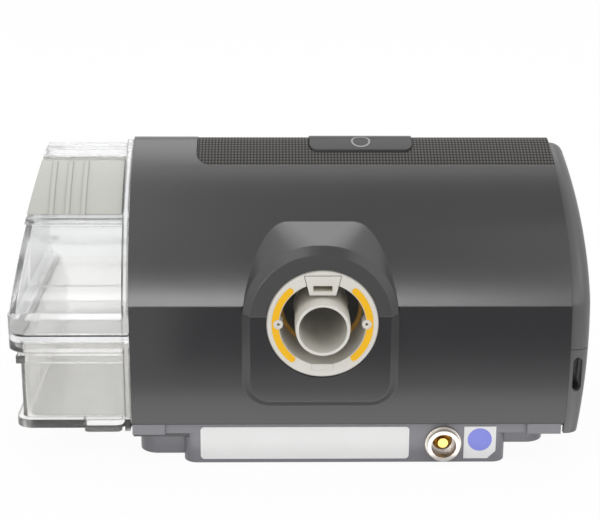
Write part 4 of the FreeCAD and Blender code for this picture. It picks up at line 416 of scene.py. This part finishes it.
wornBy = {
    "back": "rear_cover",
    "top": "top_cover front_panel",
    "side": "side_cover filter_door sd_card_door adapter_door",
    "plinth": "base_chassis",
    "button": "start_button",
    "gloss": "home_button dial_knob dial_encoder sd_card",
    "liner": "bay_liner",
    "strip": "top_strip",
    "screen": "screen_window light_sensor_lens",
    "outlet": "outlet_ring outlet_tube contact_block",
    "latch": "tub_latch",
    "yellow": "outlet_markers",
    "clear": "tub_lid tub_air_tube",
    "shadeBanded": "tub_base",
    "seal": "port_seals tub_gasket blower_inlet_seal",
    "rubber": "rubber_feet blower_mounts",
    "cupSeal": "outlet_seal",
    "steel": "lcd_module door_hinge_pins sd_socket heater_plate tub_plate",
    "spring": "heater_springs motor_bearings",
    "screw": "case_screws board_screws",
    "gold": "inlet_contact contact_pins",
    "nickel": "power_inlet",
    "board": "start_switch display_board main_board",
    "motor": "motor_housing motor_rotor",
    "iron": "motor_stator",
    "inner": "dial_stem blower_lower blower_upper impeller intake_duct",
    "foam": "muffler_foam",
    "fibre": "air_filter",
    "label": "rating_label manual_label",
    "ribbon": "display_ribbon",
}
dressed = set()
for finishName, names in wornBy.items():
    for name in names.split():
        cadNodes[name].data.materials.clear()
        cadNodes[name].data.materials.append(finishes[finishName])
        dressed.add(name)
print("CAD pieces without a finish:", [name for name in cadNodes if name not in dressed])


def flatDisc(name, radius, height, steps=64):  # about Z, standing on it
    shape = bmesh.new()
    turns = [2 * math.pi * step / steps for step in range(steps)]
    low, high = [[shape.verts.new((radius * math.cos(a) * mm, radius * math.sin(a) * mm, level * mm))
                  for a in turns] for level in (0, height)]
    shape.faces.new(high)
    shape.faces.new(low[::-1])
    for step in range(steps):
        after = (step + 1) % steps
        shape.faces.new((low[step], low[after], high[after], high[step]))
    mesh = bpy.data.meshes.new(name)
    shape.to_mesh(mesh)
    shape.free()
    return mesh


def layOn(name, node, values, finishName, body):  # a thin disc laid on the skin of a CAD piece
    start, heading = Vector(values["from"]) * mm, Vector(values["towards"])
    back = node.matrix_world.inverted()
    hit, spot, normal, _ = node.ray_cast(back @ start, back.to_3x3() @ heading)
    if not hit:
        raise ValueError(f"{name} misses its piece")
    mesh = flatDisc(name, values["radius"], values["height"])
    mesh.materials.append(finishes[finishName])
    piece = bpy.data.objects.new(name, mesh)
    bpy.context.scene.collection.objects.link(piece)
    turn = (node.matrix_world.to_3x3() @ normal).to_track_quat("Z", "Y").to_matrix().to_4x4()
    piece.matrix_world = Matrix.Translation(node.matrix_world @ spot) @ turn
    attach(piece, body)


blueDisc = {"radius": 4.5, "height": 0.06, "from": (-67.2, 90.0, 9.9), "towards": (0, -1, 0)}
layOn("label_disc", cadNodes["manual_label"], blueDisc, "blue", "housing")
print("small details added")

studio = {  # in metres
    "floor": 3.0,  # half width
    "floorColour": (0.86, 0.86, 0.86, 1),
    "floorDark": 0.98,
    "floorPatch": 200,  # millimetres
    "glow": 0.96,  # share of plain white that the floor shows
    "skyLight": 0.72,
    "sun": 0.5,
    "sunAngle": 60,
    "sunFrom": (0.35, 0.75, 1.6),
}
middle, upwards = (0, 0, 0.06), (0, 0.0985, 1.0)  # points that the lamps face
lamps = {  # those with lit False only show in gloss
    "top": {"place": (0.0, -0.38, 1.0), "aim": middle, "size": (1.0, 0.5), "level": 2.2, "lit": True},
    "strip": {"place": (0.3, 1.0, 0.2), "aim": middle, "size": (1.1, 0.14), "level": 12.0, "lit": False},
    "right": {"place": (-0.8, 0.85, 0.48), "aim": middle, "size": (0.5, 0.5), "level": 2.0, "lit": True},
    "table": {"place": (0, 0.0985, 0.004), "aim": upwards, "size": (0.27, 0.057), "level": 1.7, "lit": False},
}
cards = {  # dark cards that only show in reflections: corners along X, Y and Z
    "floor_card": [(-0.8, 0.165, 0.002), (0.055, 0.165, 0.002), (0.055, 0.7, 0.002), (-0.8, 0.7, 0.002)],
    "wall_card": [(-0.34, 1.1, 0.34), (0.2, 1.1, 0.34), (0.2, 1.1, 1.5), (-0.34, 1.1, 1.5)],
    "roof_card": [(-0.8, 0.1, 1.5), (0.2, 0.1, 1.5), (0.2, 1.1, 1.5), (-0.8, 1.1, 1.5)],
}


def flatPiece(name, corners):
    mesh = bpy.data.meshes.new(name)
    mesh.from_pydata(corners, [], [(0, 1, 2, 3)])
    piece = bpy.data.objects.new(name, mesh)
    bpy.context.scene.collection.objects.link(piece)
    return piece


def floorFinish(values):
    f = Finish("floor")
    cloud = f.noise(values["floorPatch"], 2)
    tone = f.blend(cloud, shade(values["floorColour"], values["floorDark"]), values["floorColour"])
    diffuse = f.node("ShaderNodeBsdfDiffuse", values={"Color": tone})
    glow = f.node("ShaderNodeEmission", values={"Color": white, "Strength": 1.0})
    share = f.seen("Camera", "Glossy", "Transmission") * values["glow"]
    mixed = f.node("ShaderNodeMixShader", values={0: share, 1: diffuse, 2: glow})
    f.node("ShaderNodeOutputMaterial", values={0: mixed})
    return f.owner


half = studio["floor"]
floor = flatPiece("floor", [(-half, -half, 0), (half, -half, 0), (half, half, 0), (-half, half, 0)])
floor.data.materials.append(floorFinish(studio))
cardFinish = mouldedPlastic("dark card", (0.02, 0.02, 0.02, 1), 0.9, edge=0)
for name, corners in cards.items():
    card = flatPiece(name, corners)
    card.data.materials.append(cardFinish)
    card.visible_camera = False
    card.visible_diffuse = False
    card.visible_transmission = False
    card.visible_shadow = False

world = bpy.data.worlds.new("studio")
bpy.context.scene.world = world
sky = Finish("studio", world)
backdrop = sky.seen("Camera", "Glossy", "Transmission")
strength = backdrop * (1 - studio["skyLight"]) + studio["skyLight"]
light = sky.node("ShaderNodeBackground", values={0: white, 1: strength})
sky.node("ShaderNodeOutputWorld", values={0: light})

for name, values in lamps.items():
    lampData = bpy.data.lights.new(name, "AREA")
    lampData.shape = "RECTANGLE"
    lampData.size, lampData.size_y = values["size"]
    lampData.energy = values["level"] * math.pi * lampData.size * lampData.size_y
    lamp = bpy.data.objects.new(name, lampData)
    lamp.location = values["place"]
    lamp.rotation_euler = (lamp.location - Vector(values["aim"])).to_track_quat("Z", "Y").to_euler()
    lamp.visible_camera = False
    lamp.visible_diffuse = values["lit"]
    lamp.visible_transmission = values["lit"]
    bpy.context.scene.collection.objects.link(lamp)

sunData = bpy.data.lights.new("sun", "SUN")
sunData.energy = studio["sun"]
sunData.angle = math.radians(studio["sunAngle"])
sun = bpy.data.objects.new("sun", sunData)
sun.rotation_euler = Vector(studio["sunFrom"]).to_track_quat("Z", "Y").to_euler()
bpy.context.scene.collection.objects.link(sun)

cameraValues = {
    "place": (0.008888, 0.575145, 0.238928),
    "down": 17.29,  # degrees below level
    "turn": -0.0175,  # radians away from straight
    "roll": 0.268,  # degrees
    "lens": 89.82,
    "nearest": 0.01,
}
down = math.radians(cameraValues["down"])
turn = cameraValues["turn"]
roll = math.radians(cameraValues["roll"])
forward = Vector((math.sin(turn) * math.cos(down), -math.cos(turn) * math.cos(down), -math.sin(down)))
right = forward.cross(Vector((0, 0, 1))).normalized()
up = right.cross(forward)
rightRolled = right * math.cos(roll) + up * math.sin(roll)
upRolled = up * math.cos(roll) - right * math.sin(roll)
cameraData = bpy.data.cameras.new("camera")
cameraData.lens = cameraValues["lens"]
cameraData.clip_start = cameraValues["nearest"]
camera = bpy.data.objects.new("camera", cameraData)
camera.matrix_world = Matrix((
    (rightRolled.x, upRolled.x, -forward.x, cameraValues["place"][0]),
    (rightRolled.y, upRolled.y, -forward.y, cameraValues["place"][1]),
    (rightRolled.z, upRolled.z, -forward.z, cameraValues["place"][2]),
    (0, 0, 0, 1),
))
bpy.context.scene.collection.objects.link(camera)
bpy.context.scene.camera = camera
bpy.context.scene.view_settings.view_transform = "Standard"
print("floor, light and camera set")
